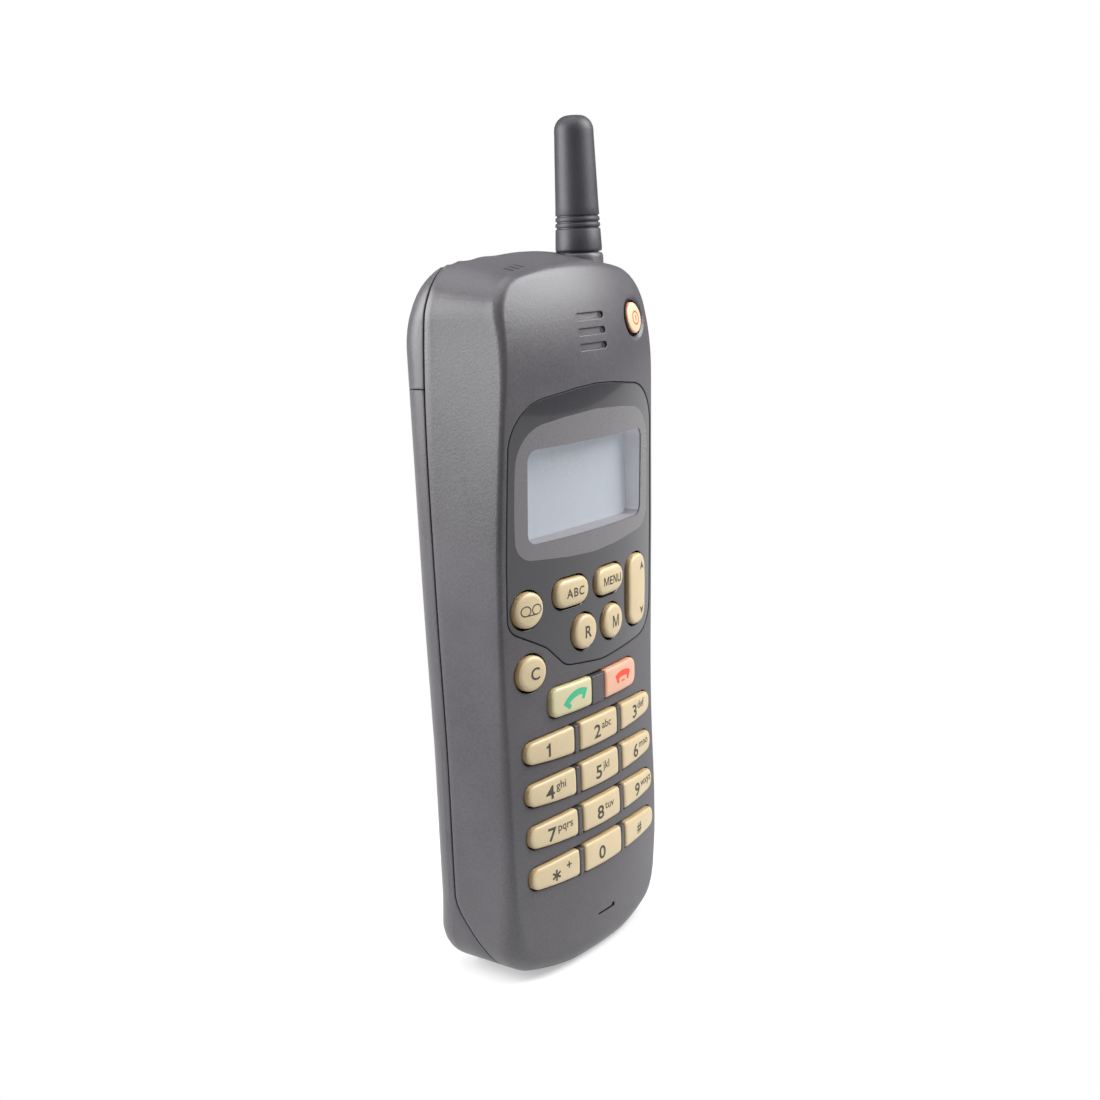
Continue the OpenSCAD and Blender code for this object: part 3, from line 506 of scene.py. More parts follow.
def finish(name, dark, light, rough=(0.4, 0.55), grain=2500, depth=0.02, cloud=60, metallic=0.0, coat=0.0,
           glow=((1, 1, 1, 1), 0.0)):
    """Plain procedural finish: cloudy colour, fine grain, uneven gloss."""
    m, shader, where = shade(name)
    big, small = where.noise(cloud, 4), where.noise(grain, 2)
    both = big * 0.5 + small * 0.5
    wire_to(shader, Base_Color=both.band(0.32, 0.68).blend(dark, light),
            Roughness=both.band(0.3, 0.7, *rough))
    bump = where.add("ShaderNodeBump", {}, {"Strength": 1.0, "Distance": depth * MM, "Height": small})
    wire_to(shader, Normal=bump)
    shader.inputs["Metallic"].default_value = metallic
    shader.inputs["Coat Weight"].default_value = coat
    shader.inputs["Emission Color"].default_value, shader.inputs["Emission Strength"].default_value = glow
    return m


# gloss, grain, its depth and the size of the colour clouds
SHELL_LOOK = (rgb(72, 70, 74), rgb(90, 88, 92), (0.32, 0.44), 1900, 0.03, 45)
KEY_GLOSS = ((0.34, 0.44), 2800, 0.008, 160)
EDGE_GLOSS = ((0.36, 0.48), 2800, 0.008, 220)
INK_GLOSS = ((0.45, 0.55), 2600, 0.004, 300)
WALL_GLOSS = ((0.5, 0.6), 2600, 0.01, 60)

shell_grey = finish("charcoal_shell", *SHELL_LOOK)
pack_grey = finish("charcoal_battery", *SHELL_LOOK)
# painted shade: near-black finish standing in for the shade in gaps, hole walls, slot floors and openings
painted_shade_dark = finish("painted_shade_gap", rgb(20, 20, 22), rgb(26, 26, 28), (0.6, 0.7))
smoke = finish("smoked_panel", rgb(46, 45, 50), rgb(51, 50, 55), (0.1, 0.14), 1800, 0.001, 40, coat=0.6)
frame_grey = finish("window_frame_print", rgb(113, 111, 113), rgb(117, 115, 117), (0.25, 0.32), 2600,
                    0.0005, 60)
well_grey = finish("window_well", rgb(238, 236, 240), rgb(244, 242, 246), *WALL_GLOSS)
# painted shade: darker copy of the well's finish for the lower wall
well_painted_shade = finish("window_well_painted_shade", rgb(166, 164, 168), rgb(176, 174, 178), *WALL_GLOSS)
cream = finish("cream_key", rgb(206, 187, 150), rgb(216, 198, 162), *KEY_GLOSS)
pale_green = finish("pale_green_key", rgb(206, 198, 158), rgb(214, 206, 168), *KEY_GLOSS)
warm = finish("warm_key", rgb(228, 188, 154), rgb(238, 200, 166), *KEY_GLOSS)
rose = finish("rose_key", rgb(226, 172, 148), rgb(236, 186, 160), *KEY_GLOSS)
# painted shade: darker copies of the key colours, for the keys' walls
cream_wall_shade = finish("cream_key_painted_shade", rgb(176, 148, 104), rgb(198, 174, 132), *EDGE_GLOSS)
green_wall_shade = finish("pale_green_key_painted_shade", rgb(186, 176, 128), rgb(198, 190, 146), *EDGE_GLOSS)
rose_wall_shade = finish("rose_key_painted_shade", rgb(206, 142, 112), rgb(222, 162, 132), *EDGE_GLOSS)
ink = finish("dark_ink", rgb(62, 56, 48), rgb(76, 70, 60), *INK_GLOSS)
green_ink = finish("green_ink", rgb(60, 176, 130), rgb(74, 190, 144), *INK_GLOSS)
red_ink = finish("red_ink", rgb(226, 72, 52), rgb(240, 92, 66), *INK_GLOSS)
# painted light: a faint glow that lifts the shade the window frame casts on the display
display = finish("display_painted_glow", rgb(178, 184, 192), rgb(188, 193, 200), (0.2, 0.3), 1600, 0.002, 40,
                 glow=(rgb(190, 198, 208), 0.2))
rubber = finish("antenna_rubber", rgb(47, 46, 52), rgb(58, 57, 63), (0.42, 0.56), 2600, 0.03, 90)
black = finish("black_plastic", rgb(30, 30, 32), rgb(40, 40, 42), (0.4, 0.55))
steel = finish("steel", rgb(168, 170, 172), rgb(196, 198, 200), (0.22, 0.4), 3000, 0.01, 120, metallic=1.0)
brass = finish("gilt_brass", rgb(190, 150, 70), rgb(222, 184, 100), (0.2, 0.35), 3000, 0.01, 120,
               metallic=1.0)
board = finish("board_green", rgb(26, 74, 48), rgb(40, 96, 62), (0.35, 0.5), 900, 0.02, 220)
white = finish("guide_white", rgb(226, 226, 222), rgb(240, 240, 236), (0.35, 0.5))
mat_grey = finish("mat_rubber", rgb(112, 112, 110), rgb(128, 128, 126), (0.6, 0.75))
film = finish("dome_film", rgb(190, 168, 110), rgb(210, 190, 132), (0.3, 0.45))
cloth = finish("mesh_cloth", rgb(20, 20, 22), rgb(44, 44, 46), (0.8, 0.9), 5200, 0.08, 400)
card = finish("card_white", rgb(224, 222, 214), rgb(238, 236, 228), (0.35, 0.5))
label = finish("label_grey", rgb(150, 150, 148), rgb(166, 166, 164), (0.4, 0.55))


def clear_pane():
    """Thin clear pane: seen through, with a reflection that grows at a slant."""
    m, shader, where = shade("clear_pane")
    tree = m.node_tree
    haze = where.noise(70, 3).band(0.35, 0.7, 0.01, 0.03)
    slant = where.add("ShaderNodeFresnel", {}, {"IOR": 1.45})
    gloss = where.add("ShaderNodeBsdfGlossy", {}, {"Color": (1, 1, 1, 1), "Roughness": 0.12})
    open_ = where.add("ShaderNodeBsdfTransparent", {}, {"Color": (1, 1, 1, 1)})
    mixed = where.add("ShaderNodeMixShader", {}, {0: slant * 0.55 + haze, 1: open_, 2: gloss})
    tree.links.new(mixed.socket, tree.nodes["Material Output"].inputs["Surface"])
    tree.nodes.remove(shader)
    return m


pane = clear_pane()


# Front shell

def draft(x, z, nx, nz):
    """The outline's point at the parting line."""
    out = (SPREAD * nx * nx + RISE * nz * nz) * spread(z, 99, 52.2, 1.25)
    return x + nx * out, z + nz * out


outline = body_outline()
outline_ways = outward(outline)
rear_outline = [draft(*p, *n) for p, n in zip(outline, outline_ways)]
rear_ways = outward(rear_outline)


def inset_loop(loop, ways, soft):
    return [(x - nx * soft(z), z - nz * soft(z)) for (x, z), (nx, nz) in zip(loop, ways)]


def place_on(v, inset):
    """Stretch of an inset loop that a vertex lies on, and how far along it."""
    best = None
    for i, (a, b) in enumerate(pairs(inset)):
        dx, dz = b[0] - a[0], b[1] - a[1]
        t = max(0, min(1, ((v.co.x - a[0]) * dx + (v.co.z - a[1]) * dz) / (dx * dx + dz * dz)))
        miss = hypot(a[0] + t * dx - v.co.x, a[1] + t * dz - v.co.z)
        if best is None or miss < best[0]:
            best = (miss, i, t)
    return best[1:]


def at_place(loop, place):
    """The same place on another loop, or its direction there."""
    i, t = place
    p, q = loop[i], loop[(i + 1) % len(loop)]
    return Vector((p[0] + (q[0] - p[0]) * t, 0, p[1] + (q[1] - p[1]) * t))


def seam_end(z):
    """Where the front shell's wall ends: the parting line, met under the back's rounding."""
    y = seam(z)
    for _ in range(12):
        y = 0.5 * y + 0.5 * seam(min(z, crown_top(y)))
    return y


LIP_BAND, LIP_R = 0.3, 0.25
LIP_GROW = LIP_BAND + LIP_R


def rib(bm, x0, x1, z0, z1, proud=0.72):
    """A bar of the shell that stands between two keys."""
    def lay(x, z):
        return face(x, z) - proud
    bar = sheet(oblong((x0 + x1) / 2, (z0 + z1) / 2, x1 - x0, z1 - z0, 0.3, -0.25, 0.8), (), 0.9, lay)
    lip(bar, rims(bar)[0], edge_profile(0, 0.25, proud + 1.2), lay)
    join(bm, bar)


def key_slot(bm, loop, names, middle, width):
    """Slot that a row of keys shares: rounded edge, wall and floor in painted shade, a hole for each key."""
    keys = key_loops(KEY_GAP)
    rim = lip(bm, rim_near(bm, *middle, width), edge_profile(LIP_BAND, LIP_R, 0.3))
    # the slot's wall and, below, its floor take the painted shade finish
    lip(bm, rim, [(0, 1.0)], material=1)
    floor = sheet(loop, [keys[n] for n in names], 1.5, lambda x, z: face(x, z) + 0.9)
    for name in names:
        lip(floor, rim_about(floor, keys[name]), [(0, 2.2)])
    for f in floor.faces:
        f.material_index = 1
    join(bm, floor)


def groove(bm, middle, width, deep, floor_material):
    """Shallow groove whose walls are painted shade."""
    rim = lip(bm, rim_near(bm, *middle, width), edge_profile(0.12, 0.12, 0.2, 2))
    fill(bm, lip(bm, rim, [(0, deep)], material=1), floor_material)


# Painted shade: a flat dark disc where the shaded hole at a slot's end would be.
def painted_shade_spot(bm, loop, lay):
    spot = sheet(loop, (), 1.5, lay)
    for f in spot.faces:
        f.material_index = 1
    join(bm, spot)


def top_slits(bm, middle, count, pitch, size):
    """Openings side by side on the top, drawn as sheets of painted shade dropped onto it from above."""
    tree = BVHTree.FromBMesh(bm)
    for i in range(count):
        x = middle[0] + pitch * (i - (count - 1) / 2)
        spot = sheet(oblong(x, middle[1], *size, min(size) * 0.45, 0, 0.6), (), 0.7)
        for v in spot.verts:
            hit = tree.ray_cast(Vector((v.co.x, v.co.z, TALL + 20)), Vector((0, 0, -1)))[0]
            v.co = hit + Vector((0, 0, 0.02))
        for f in spot.faces:
            f.material_index = 1
        join(bm, spot)


def build_front_shell():
    inset = inset_loop(outline, outline_ways, edge_soft)
    grow = KEY_GAP + LIP_GROW
    slots = [EAR_Z + EAR_PITCH * i for i in (-1, 0, 1)]
    holes = [panel_loop(0.12 + 0.12 + 0.2)]
    holes += [row_loop(z, -ROW_X, ROW_X, grow) for z in ROWS]
    holes.append(oblong(0, CALL_Z, 2 * CALL_X[1], CALL_H, CALL_R, grow))
    holes.append(disc(*CLEAR, ROUND_R + ROUND_GAP + LIP_GROW))
    holes.append(disc(*POWER, POWER_R + 1.9))
    holes += [oblong(0, z, *EAR_SLOT, 0.74, 0.24, 0.6) for z in slots]
    holes.append(rounded([(-1.7, 9.5, 0.15), (4.9, 9.4, 0.4), (4.9, 10.5, 0.45), (4.0, 10.5, 0.4),
                          (3.8, 9.95, 0.3), (-1.7, 9.95, 0.15)], 0.24, 0.6))
    bm = sheet(inset, holes)

    lip(bm, rim_near(bm, 0, 102.6, 54.6), edge_profile(0.2, 0.12, 1.3, 2))
    for z, names in zip(ROWS, NUMBERS):
        key_slot(bm, row_loop(z, -ROW_X, ROW_X, KEY_GAP + 0.08), names, (0, z), 49)
        for x0, x1 in ((-8.8, -7.5), (7.5, 8.8)):
            rib(bm, x0, x1, z - 3.4, z + 2.95)
    call_slot = oblong(0, CALL_Z, 2 * CALL_X[1], CALL_H, CALL_R, KEY_GAP + 0.08)
    key_slot(bm, call_slot, ["send", "end"], (0, CALL_Z), 34)
    rib(bm, -2.25, 2.25, CALL_Z - 3.5, CALL_Z + 3.0)
    rim = lip(bm, rim_near(bm, *CLEAR), edge_profile(LIP_BAND, LIP_R, 0.4))
    # the wall down into the clear key's hole is painted shade
    lip(bm, rim, [(0, 2.2)], material=1)
    dish = [(0.25, 0.0), (0.4, 0.04), (0.6, 0.14), (1.1, 0.55), (1.35, 0.8)]
    rim = lip(bm, rim_near(bm, *POWER), dish)
    # the dish's lower step and wall are painted shade
    lip(bm, rim, [(0.1, 0.2), (0.1, 2.0)], material=1)
    for z in slots:
        groove(bm, (0, z), 10.48, 0.45, 0)
        painted_shade_spot(bm, disc(4.05, z, 0.68, 20), lambda x, z: face(x, z) + 0.43)
    # the mic groove's floor is painted shade as well
    groove(bm, MIC, 7.08, 0.6, 1)

    loop = max(rims(bm), key=len)
    places = [place_on(v, inset) for v in loop]
    spots = [at_place(outline, k) for k in places]
    rear = [at_place(rear_outline, k) for k in places]
    ways = [at_place(rear_ways, k).normalized() for k in places]
    flat = [v.co.copy() for v in loop]
    for turn in (12, 25, 38, 51, 64, 77, 90):
        c, t = cos(radians(turn)), sin(radians(turn))
        row = []
        for p, o in zip(flat, spots):
            deep = hypot(o.x - p.x, o.z - p.z) * edge_deep(o.z)
            x, z = p.x + (o.x - p.x) * t, p.z + (o.z - p.z) * t
            row.append(Vector((x, face(x, z) + deep - deep * c, z)))
        loop = ring(bm, loop, row)
    starts = [v.co.copy() for v in loop]
    steps = [(t / 10, 0, 0) for t in range(1, 10)]
    steps += [(1, -0.3, 0), (1, -0.09, -0.09), (1, 0, -0.3), (1, 0, -1.6)]
    for t, back, inward in steps:
        row = []
        for p, r, w in zip(starts, rear, ways):
            y = p.y + (seam_end(r.z) - p.y) * t + back
            spot = p.lerp(r, t)
            row.append(Vector((spot.x, y, min(spot.z, crown_top(y)))) + w * inward)
        loop = ring(bm, loop, row)
    top_slits(bm, (-15.2, -7.2), 3, 1.75, (0.45, 2.8))
    top_slits(bm, (-1.5, 4.2), 1, 0, (4.6, 2.0))
    return bm


piece(build_front_shell(), "front_shell", [shell_grey, painted_shade_dark], "handset", ["front_cover"], "body_grey")


# Window panel

def build_panel():
    def lay(x, z):
        return face(x, z) + 0.1
    hole_lip = 0.15 + 0.2
    keys = key_loops(ROUND_GAP + hole_lip)
    bm = sheet(panel_loop(-0.3), [keys[n] for n in PANEL_KEYS] + [frame_loop()], 1.5, lay)
    for name in PANEL_KEYS:
        rim = lip(bm, rim_about(bm, keys[name]), edge_profile(0.15, 0.2, 0.4), lay)
        # the key holes' walls are painted shade
        lip(bm, rim, [(0, 2.4)], lay, 3)
    # the panel's rounded outer edge is painted shade, a dark line where the edge's highlight would be
    lip(bm, max(rims(bm), key=len), edge_profile(0.05, 0.2, 1.0), lay, 3)
    for loop, hole, material in ((frame_loop(), [view_loop()], 1), (view_loop(), [], 2)):
        part = sheet(loop, hole, 1.5, lay)
        for f in part.faces:
            f.material_index = material
        join(bm, part)
    return bm


piece(build_panel(), "smoked_window", [smoke, frame_grey, pane, painted_shade_dark], "handset",
      ["window_panel", "window_mask"], "panel_smoke")


def build_well():
    """Walls between the window and the display; the lower one takes a darker copy of the finish, painted
    shade.
    """
    bm = bmesh.new()
    edges = loop_edges(bm, view_loop(0.05))
    for v in bm.verts:
        v.co.y = face(v.co.x, v.co.z) + 0.5
    made = bmesh.ops.extrude_edge_only(bm, edges=edges)["geom"]
    for v in made:
        if isinstance(v, bmesh.types.BMVert):
            v.co.y = GLASS_Y
        elif isinstance(v, bmesh.types.BMFace):
            v.normal_update()
            # faces of the lower wall get the painted-shade copy
            v.material_index = int(abs(v.normal.z) > 0.7 and v.calc_center_median().z < VIEW_Z)
    return bm


piece(build_well(), "window_well", [well_grey, well_painted_shade], "handset", slot="mask_grey")


# Back of the body

def cut_rim(bm, z, keep_above, soft=0.3):
    """Cuts a closed body level at a height, closes it and rounds the new edge."""
    bmesh.ops.bisect_plane(bm, geom=bm.verts[:] + bm.edges[:] + bm.faces[:], dist=1e-5, plane_co=(0, 0, z),
                           plane_no=(0, 0, 1), clear_inner=keep_above, clear_outer=not keep_above)
    bmesh.ops.remove_doubles(bm, verts=bm.verts, dist=0.001)
    edges = [e for e in bm.edges if e.is_boundary and all(abs(v.co.z - z) < 1e-3 for v in e.verts)]
    made = bmesh.ops.triangle_fill(bm, use_beauty=True, edges=edges, normal=(0, 0, 1))["geom"]
    rim = [e for e in edges if len(e.link_faces) == 2]
    if soft:
        bmesh.ops.bevel(bm, geom=rim, offset=soft, offset_type="OFFSET", segments=3, profile=0.5,
                        affect="EDGES", material=-1, clamp_overlap=True)
    return made


def build_back(notch=None, bay=None):
    """Closed body behind the parting line, with a notch in its back and a bay in its front."""
    inset = inset_loop(rear_outline, rear_ways, back_soft)

    def back(x, z):
        return crown(z)

    def front(z):
        return seam(z) + SEAM_GAP
    bm = sheet(inset, [notch] if notch else [], 2.0, back)
    if notch:
        steps = [(0.08, -0.02), (0.19, -0.1), (0.25, -0.25), (0.25, -2.15)]
        fill(bm, lip(bm, rim_about(bm, notch), steps, back))
    loop = max(rims(bm), key=len)
    places = [place_on(v, inset) for v in loop]
    spots = [at_place(rear_outline, k) for k in places]
    ways = [at_place(rear_ways, k).normalized() for k in places]
    flat = [v.co.copy() for v in loop]
    for turn in (11, 22, 33, 45, 57, 68, 79, 90):
        row = []
        for p, o in zip(flat, spots):
            r = hypot(o.x - p.x, o.z - p.z)
            s = sin(radians(turn))
            x, z = p.x + (o.x - p.x) * s, p.z + (o.z - p.z) * s
            row.append(Vector((x, crown(z) - r + r * cos(radians(turn)), z)))
        loop = ring(bm, loop, row)
    starts = [v.co.copy() for v in loop]
    for t, back_off, inward in ((0.5, 0, 0), (1, 0.25, 0), (1, 0.07, -0.07), (1, 0, -0.25)):
        row = []
        for p, w in zip(starts, ways):
            y = p.y + (front(p.z) - p.y) * t + back_off
            row.append(Vector((p.x, y, p.z)) + w * inward)
        loop = ring(bm, loop, row)
    edges = loop_sides(loop)
    if bay:
        edges += loop_edges(bm, bay)
    made = bmesh.ops.triangle_fill(bm, use_beauty=True, edges=edges, normal=(0, -1, 0))["geom"]
    faces = [f for f in made if isinstance(f, bmesh.types.BMFace)]
    geom = list({v for f in faces for v in f.verts}) + list({e for f in faces for e in f.edges}) + faces
    outer = set(loop)
    for axis, step in ((0, 2.5), (2, 1.25)):
        geom = cut_across(bm, geom, axis, step)
    for v in geom:
        if isinstance(v, bmesh.types.BMVert) and v not in outer:
            v.co.y = front(v.co.z)
    if bay:
        fill(bm, lip(bm, rim_about(bm, bay), [(0, 1.25)], lambda x, z: front(z)))
    return bm


def build_battery():
    notch = oblong(0, 131.0, 12.3, 14.7, 1.0, 0.25)
    bay = oblong(0, 69.2, 52.8, 93.3, 0.6, 0)
    bm = build_back(notch, bay)
    cut_rim(bm, CAP_Z - SEAM_GAP, False)
    return bm


def build_cap():
    bm = build_back()
    cut_rim(bm, CAP_Z, True)
    cut_rim(bm, crown_top(seam(TALL) + SEAM_GAP) - 0.12, False, 0)
    return bm


piece(build_battery(), "battery_shell", [pack_grey, painted_shade_dark], "battery", ["battery_case"], "body_grey",
      (0, 1, 0), merge=0.001)
piece(build_cap(), "rear_cap", [shell_grey], "handset", (), "body_grey", (0, 1, 0), merge=0.001)


def build_plate():
    """The plate under the battery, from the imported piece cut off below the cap."""
    bm = bmesh.new()
    bm.from_mesh(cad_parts["rear_cover"].data)
    bm.transform(Matrix.Scale(1 / MM, 4))
    bmesh.ops.remove_doubles(bm, verts=bm.verts, dist=0.001)
    bmesh.ops.bisect_plane(bm, geom=bm.verts[:] + bm.edges[:] + bm.faces[:], dist=1e-4,
                           plane_co=(0, 0, CAP_Z - 0.05), plane_no=(0, 0, 1), clear_outer=True)
    return bm


piece(build_plate(), "rear_plate", [shell_grey], "handset", ["rear_cover"], "body_grey", (0, 1, 0), sharp=8)


# Keys and their legends

def text_bm(words, height, bold=0.0, wide=1.0):
    """Flat letters about the origin; height is that of a capital or a digit."""
    curve = bpy.data.curves.new("letters", "FONT")
    curve.body = words
    curve.size = 1
    curve.offset = bold
    curve.resolution_u = 5
    curve.align_x, curve.align_y = "LEFT", "BOTTOM_BASELINE"
    obj = bpy.data.objects.new("letters", curve)
    bpy.context.scene.collection.objects.link(obj)
    mesh = obj.to_mesh()
    bm = bmesh.new()
    bm.from_mesh(mesh)
    obj.to_mesh_clear()
    bpy.data.objects.remove(obj)
    bpy.data.curves.remove(curve)
    bmesh.ops.remove_doubles(bm, verts=bm.verts, dist=1e-4)
    scale = height / 0.72
    for v in bm.verts:
        v.co = Vector((v.co.x * scale * wide, 0, v.co.y * scale))
    return bm


def span(bm):
    return extent([(v.co.x, v.co.z) for v in bm.verts])


def shape_bm(*loops):
    """Flat marks from outlines."""
    bm = bmesh.new()
    for loop in loops:
        edges = loop_edges(bm, loop[0])
        for hole in loop[1:]:
            edges += loop_edges(bm, hole)
        bmesh.ops.triangle_fill(bm, use_beauty=True, edges=edges, normal=(0, -1, 0))
    return bm


def put(marks, part, x, z, middle=True, material=1, turn=0):
    """Moves a mark's middle, or its lower left, to a place on the key."""
    (dx, dz), width, _ = span(part)
    if not middle:
        dx, dz = dx - width / 2, 0
    c, s = cos(radians(turn)), sin(radians(turn))
    for v in part.verts:
        a, b = v.co.x - dx, v.co.z - dz
        v.co = Vector((x + a * c - b * s, 0, z + a * s + b * c))
    for f in part.faces:
        f.material_index = material
    join(marks, part)


def handset_bm(w, arch, thick, block):
    """A handset mark: an arched bar with a block under each end."""
    r = (w * w / 4 + arch * arch) / (2 * arch)
    half = 90 - atan2(r - arch, w / 2) * 180 / pi
    inner, low, part = r - thick / 2, r - thick / 2 - block, half * 0.34
    first, last = 90 - half, 90 + half
    loop = arc(0, -r, r + thick / 2, first, last, 16) + arc(0, -r, low, last, last - part, 3)
    loop += arc(0, -r, inner, last - part, first + part, 10) + arc(0, -r, low, first + part, first, 3)
    return shape_bm([loop])


def star_loop(r, w, arms):
    loop = []
    for i in range(arms):
        a = pi / 2 + 2 * pi * i / arms
        b, inner = a - pi / arms, w / sin(pi / arms)
        loop.append((inner * cos(b), inner * sin(b)))
        loop += [(r * cos(a) + s * w * sin(a), r * sin(a) - s * w * cos(a)) for s in (1, -1)]
    return loop


# letters drawn as one outline each, one unit high
DRAWN = {
    "1": [(0.26, 0), (0.46, 0), (0.46, 1), (0.32, 1), (0.24, 0.86), (0.06, 0.79), (0.06, 0.65),
          (0.26, 0.69)],
    "M": [(0, 0), (0.13, 0), (0.13, 0.74), (0.4, 0), (0.52, 0), (0.79, 0.74), (0.79, 0), (0.92, 0),
          (0.92, 1), (0.73, 1), (0.46, 0.24), (0.19, 1), (0, 1)],
    "N": [(0, 0), (0.14, 0), (0.14, 0.72), (0.54, 0), (0.72, 0), (0.72, 1), (0.58, 1), (0.58, 0.28),
          (0.18, 1), (0, 1)],
}


def word_bm(words, height, bold, wide=1.0):
    """Letters set side by side."""
    out, at = bmesh.new(), 0
    for c in words:
        if c in DRAWN:
            part = shape_bm([[(x * height, z * height) for x, z in DRAWN[c]]])
        else:
            part = text_bm(c, height, bold, wide)
        width = span(part)[1]
        put(out, part, at, 0, False)
        at += width + 0.16 * height
    return out


def build_key(name, form=face, proud=1.0, soft=0.85, drop=0.62, pillow=0.16, deep=2.3):
    """A key: pillowed top, rounded shoulder, straight wall."""
    loop = key_loops(-soft)[name]
    (cx, cz), width, height = extent(loop)
    hx, hz = width / 2, height / 2

    def top(x, z):
        swell = 1 - 0.5 * ((x - cx) / hx) ** 2 - 0.5 * ((z - cz) / hz) ** 2
        return form(x, z) - proud - pillow * swell
    bm = sheet(loop, (), 0.9, top)
    turns = [radians(18 * i) for i in range(1, 6)]
    profile = [(soft * sin(t), drop * (1 - cos(t))) for t in turns] + [(soft, proud + deep)]
    rim = lip(bm, rims(bm)[0], profile[:3], top)
    # the wall under the shoulder takes the painted-shade copy
    lip(bm, rim, [(out - profile[2][0], deep) for out, deep in profile[3:]], top, 2)
    return bm, top, (cx, cz)


LETTERS = {"2": "abc", "3": "def", "4": "ghi", "5": "jkl", "6": "mno", "7": "pqrs", "8": "tuv", "9": "wxyz"}


def legend(name, cx, cz):
    marks = bmesh.new()
    if name in "1234567890":
        digit = word_bm(name, 3.15, 0.02, 1.18)
        width = span(digit)[1]
        left = cx - 1.3 - width / 2
        put(marks, digit, left, cz - 1.75, False)
        if name in LETTERS:
            put(marks, text_bm(LETTERS[name], 1.9, 0.012, 1.06), left + width + 0.5, cz - 0.1, False)
    elif name == "star":
        put(marks, shape_bm([star_loop(1.35, 0.26, 6)]), cx - 0.6, cz - 0.5)
        put(marks, shape_bm([star_loop(0.8, 0.19, 4)]), cx + 3.4, cz + 0.8)
    elif name == "hash":
        put(marks, text_bm("#", 2.6, 0.02), cx - 1.0, cz - 0.3)
    elif name in ("abc", "menu"):
        put(marks, word_bm(name.upper(), 2.0, 0.018), cx + 0.4, cz)
    elif name in ("recall", "memory", "clear"):
        put(marks, word_bm({"recall": "R", "memory": "M", "clear": "C"}[name], 2.8, 0.016), cx + 0.3, cz)
    elif name == "message":
        def loop(w, h):
            return [(x * w, z * h) for x, z in disc(0, 0, 1, 30)]
        for s in (-1, 1):
            put(marks, shape_bm([loop(1.4, 1.2), loop(1.14, 0.94)]), cx + 0.1 + s * 1.5, cz + 0.1)
        put(marks, shape_bm([oblong(0, 0, 3.0, 0.27, 0.05)]), cx + 0.1, cz - 0.96)
    elif name == "send":
        put(marks, handset_bm(7.4, 1.3, 1.55, 1.0), cx + 0.7, cz, turn=14)
    elif name == "end":
        put(marks, handset_bm(6.2, 0.75, 1.45, 0.85), cx + 0.4, cz + 0.3)
        put(marks, shape_bm([oblong(0, 0, 1.5, 0.4, 0.1)]), cx + 0.4, cz - 0.8)
    elif name == "scroll":
        for s in (-1, 1):
            tick = [(-1.15, -0.95), (0, -0.3), (1.15, -0.95), (0, 1.15)]
            put(marks, shape_bm([tick]), cx + 1.7, cz + s * 5.4, turn=0 if s > 0 else 180)
    elif name == "power":
        put(marks, shape_bm([disc(0, 0, 1.6, 32), disc(0, 0, 1.25, 32)]), cx + 0.2, cz)
        put(marks, shape_bm([oblong(0, 0, 0.4, 1.3, 0.1)]), cx + 0.2, cz)
    return marks


for name in key_loops(0):
    style = {"proud": 1.0}
    if name == "power":
        style = {"proud": 0.15, "deep": 1.6, "soft": 0.7, "drop": 0.5}
    elif name in PANEL_KEYS + ["clear"]:
        style = {"proud": 0.85, "soft": 1.0, "drop": 0.7, "pillow": 0.3}
    bm, top, (cx, cz) = build_key(name, **style)
    marks = legend(name, cx, cz)
    for axis in (0, 2):
        cut_across(marks, marks.verts[:] + marks.edges[:] + marks.faces[:], axis, 0.9)
    for v in marks.verts:
        v.co.y = top(v.co.x, v.co.z) - 0.02
    join(bm, marks)
    paint = {"send": green_ink, "end": red_ink, "power": red_ink}.get(name, ink)
    # each key's walls get the painted-shade copy of its colour
    tint, edge = {"send": (pale_green, green_wall_shade), "end": (rose, rose_wall_shade),
                  "power": (warm, rose_wall_shade)}.get(name, (cream, cream_wall_shade))
    piece(bm, "cap_" + name, [tint, paint, edge], "button_" + name, ["key_" + name],
          "key_rose" if name == "end" else "key_cream", sharp=50, merge=0.0002)


# Antenna

def turned(profile):
    """A profile turned about the antenna's line."""
    bm = bmesh.new()
    x, y = ANTENNA
    verts = [bm.verts.new((x + r, y, z)) for r, z in profile]
    edges = [bm.edges.new(pair) for pair in zip(verts, verts[1:])]
    bmesh.ops.spin(bm, geom=verts + edges, cent=(x, y, 0), axis=(0, 0, 1), angle=2 * pi, steps=56,
                   use_merge=True)
    return bm


def build_antenna():
    """Tapered sleeve with three grip rings."""
    profile = [(0, 162.5), (4.8, 162.5), (5.12, 162.55), (5.28, 162.8), (5.3, 163.2)]
    for z in (167.8, 169.1, 170.4):
        r = 5.3 - 0.045 * (z - 163.7)
        profile += [(r, z - 0.34), (r - 0.05, z - 0.24), (r - 0.34, z - 0.16), (r - 0.34, z + 0.16),
                    (r - 0.05, z + 0.24), (r - 0.01, z + 0.34)]
    profile += [(4.9, 172.5), (4.75, 178), (4.58, 184), (4.45, 188.2)]
    profile += [(1.25 + 3.2 * cos(radians(a)), 189.1 + 3.39 * sin(radians(a))) for a in range(0, 91, 15)]
    return turned(profile + [(0, 192.49)])


def build_collar():
    """Round foot of the antenna, with a neck under the sleeve."""
    return turned([(0, 152), (5.5, 152), (5.5, 161.3), (5.4, 161.8), (5.3, 162.05), (5.1, 162.2),
                   (4.6, 162.25), (4.6, 162.45), (0, 162.45)])


piece(build_antenna(), "antenna_cover", [rubber], "handset", ["antenna_sleeve"], "black_rubber",
      (0, 0, 1), 50)
piece(build_collar(), "antenna_collar", [shell_grey], "handset", ["antenna_socket"], "black_plastic",
      (0, 0, 1), 50)


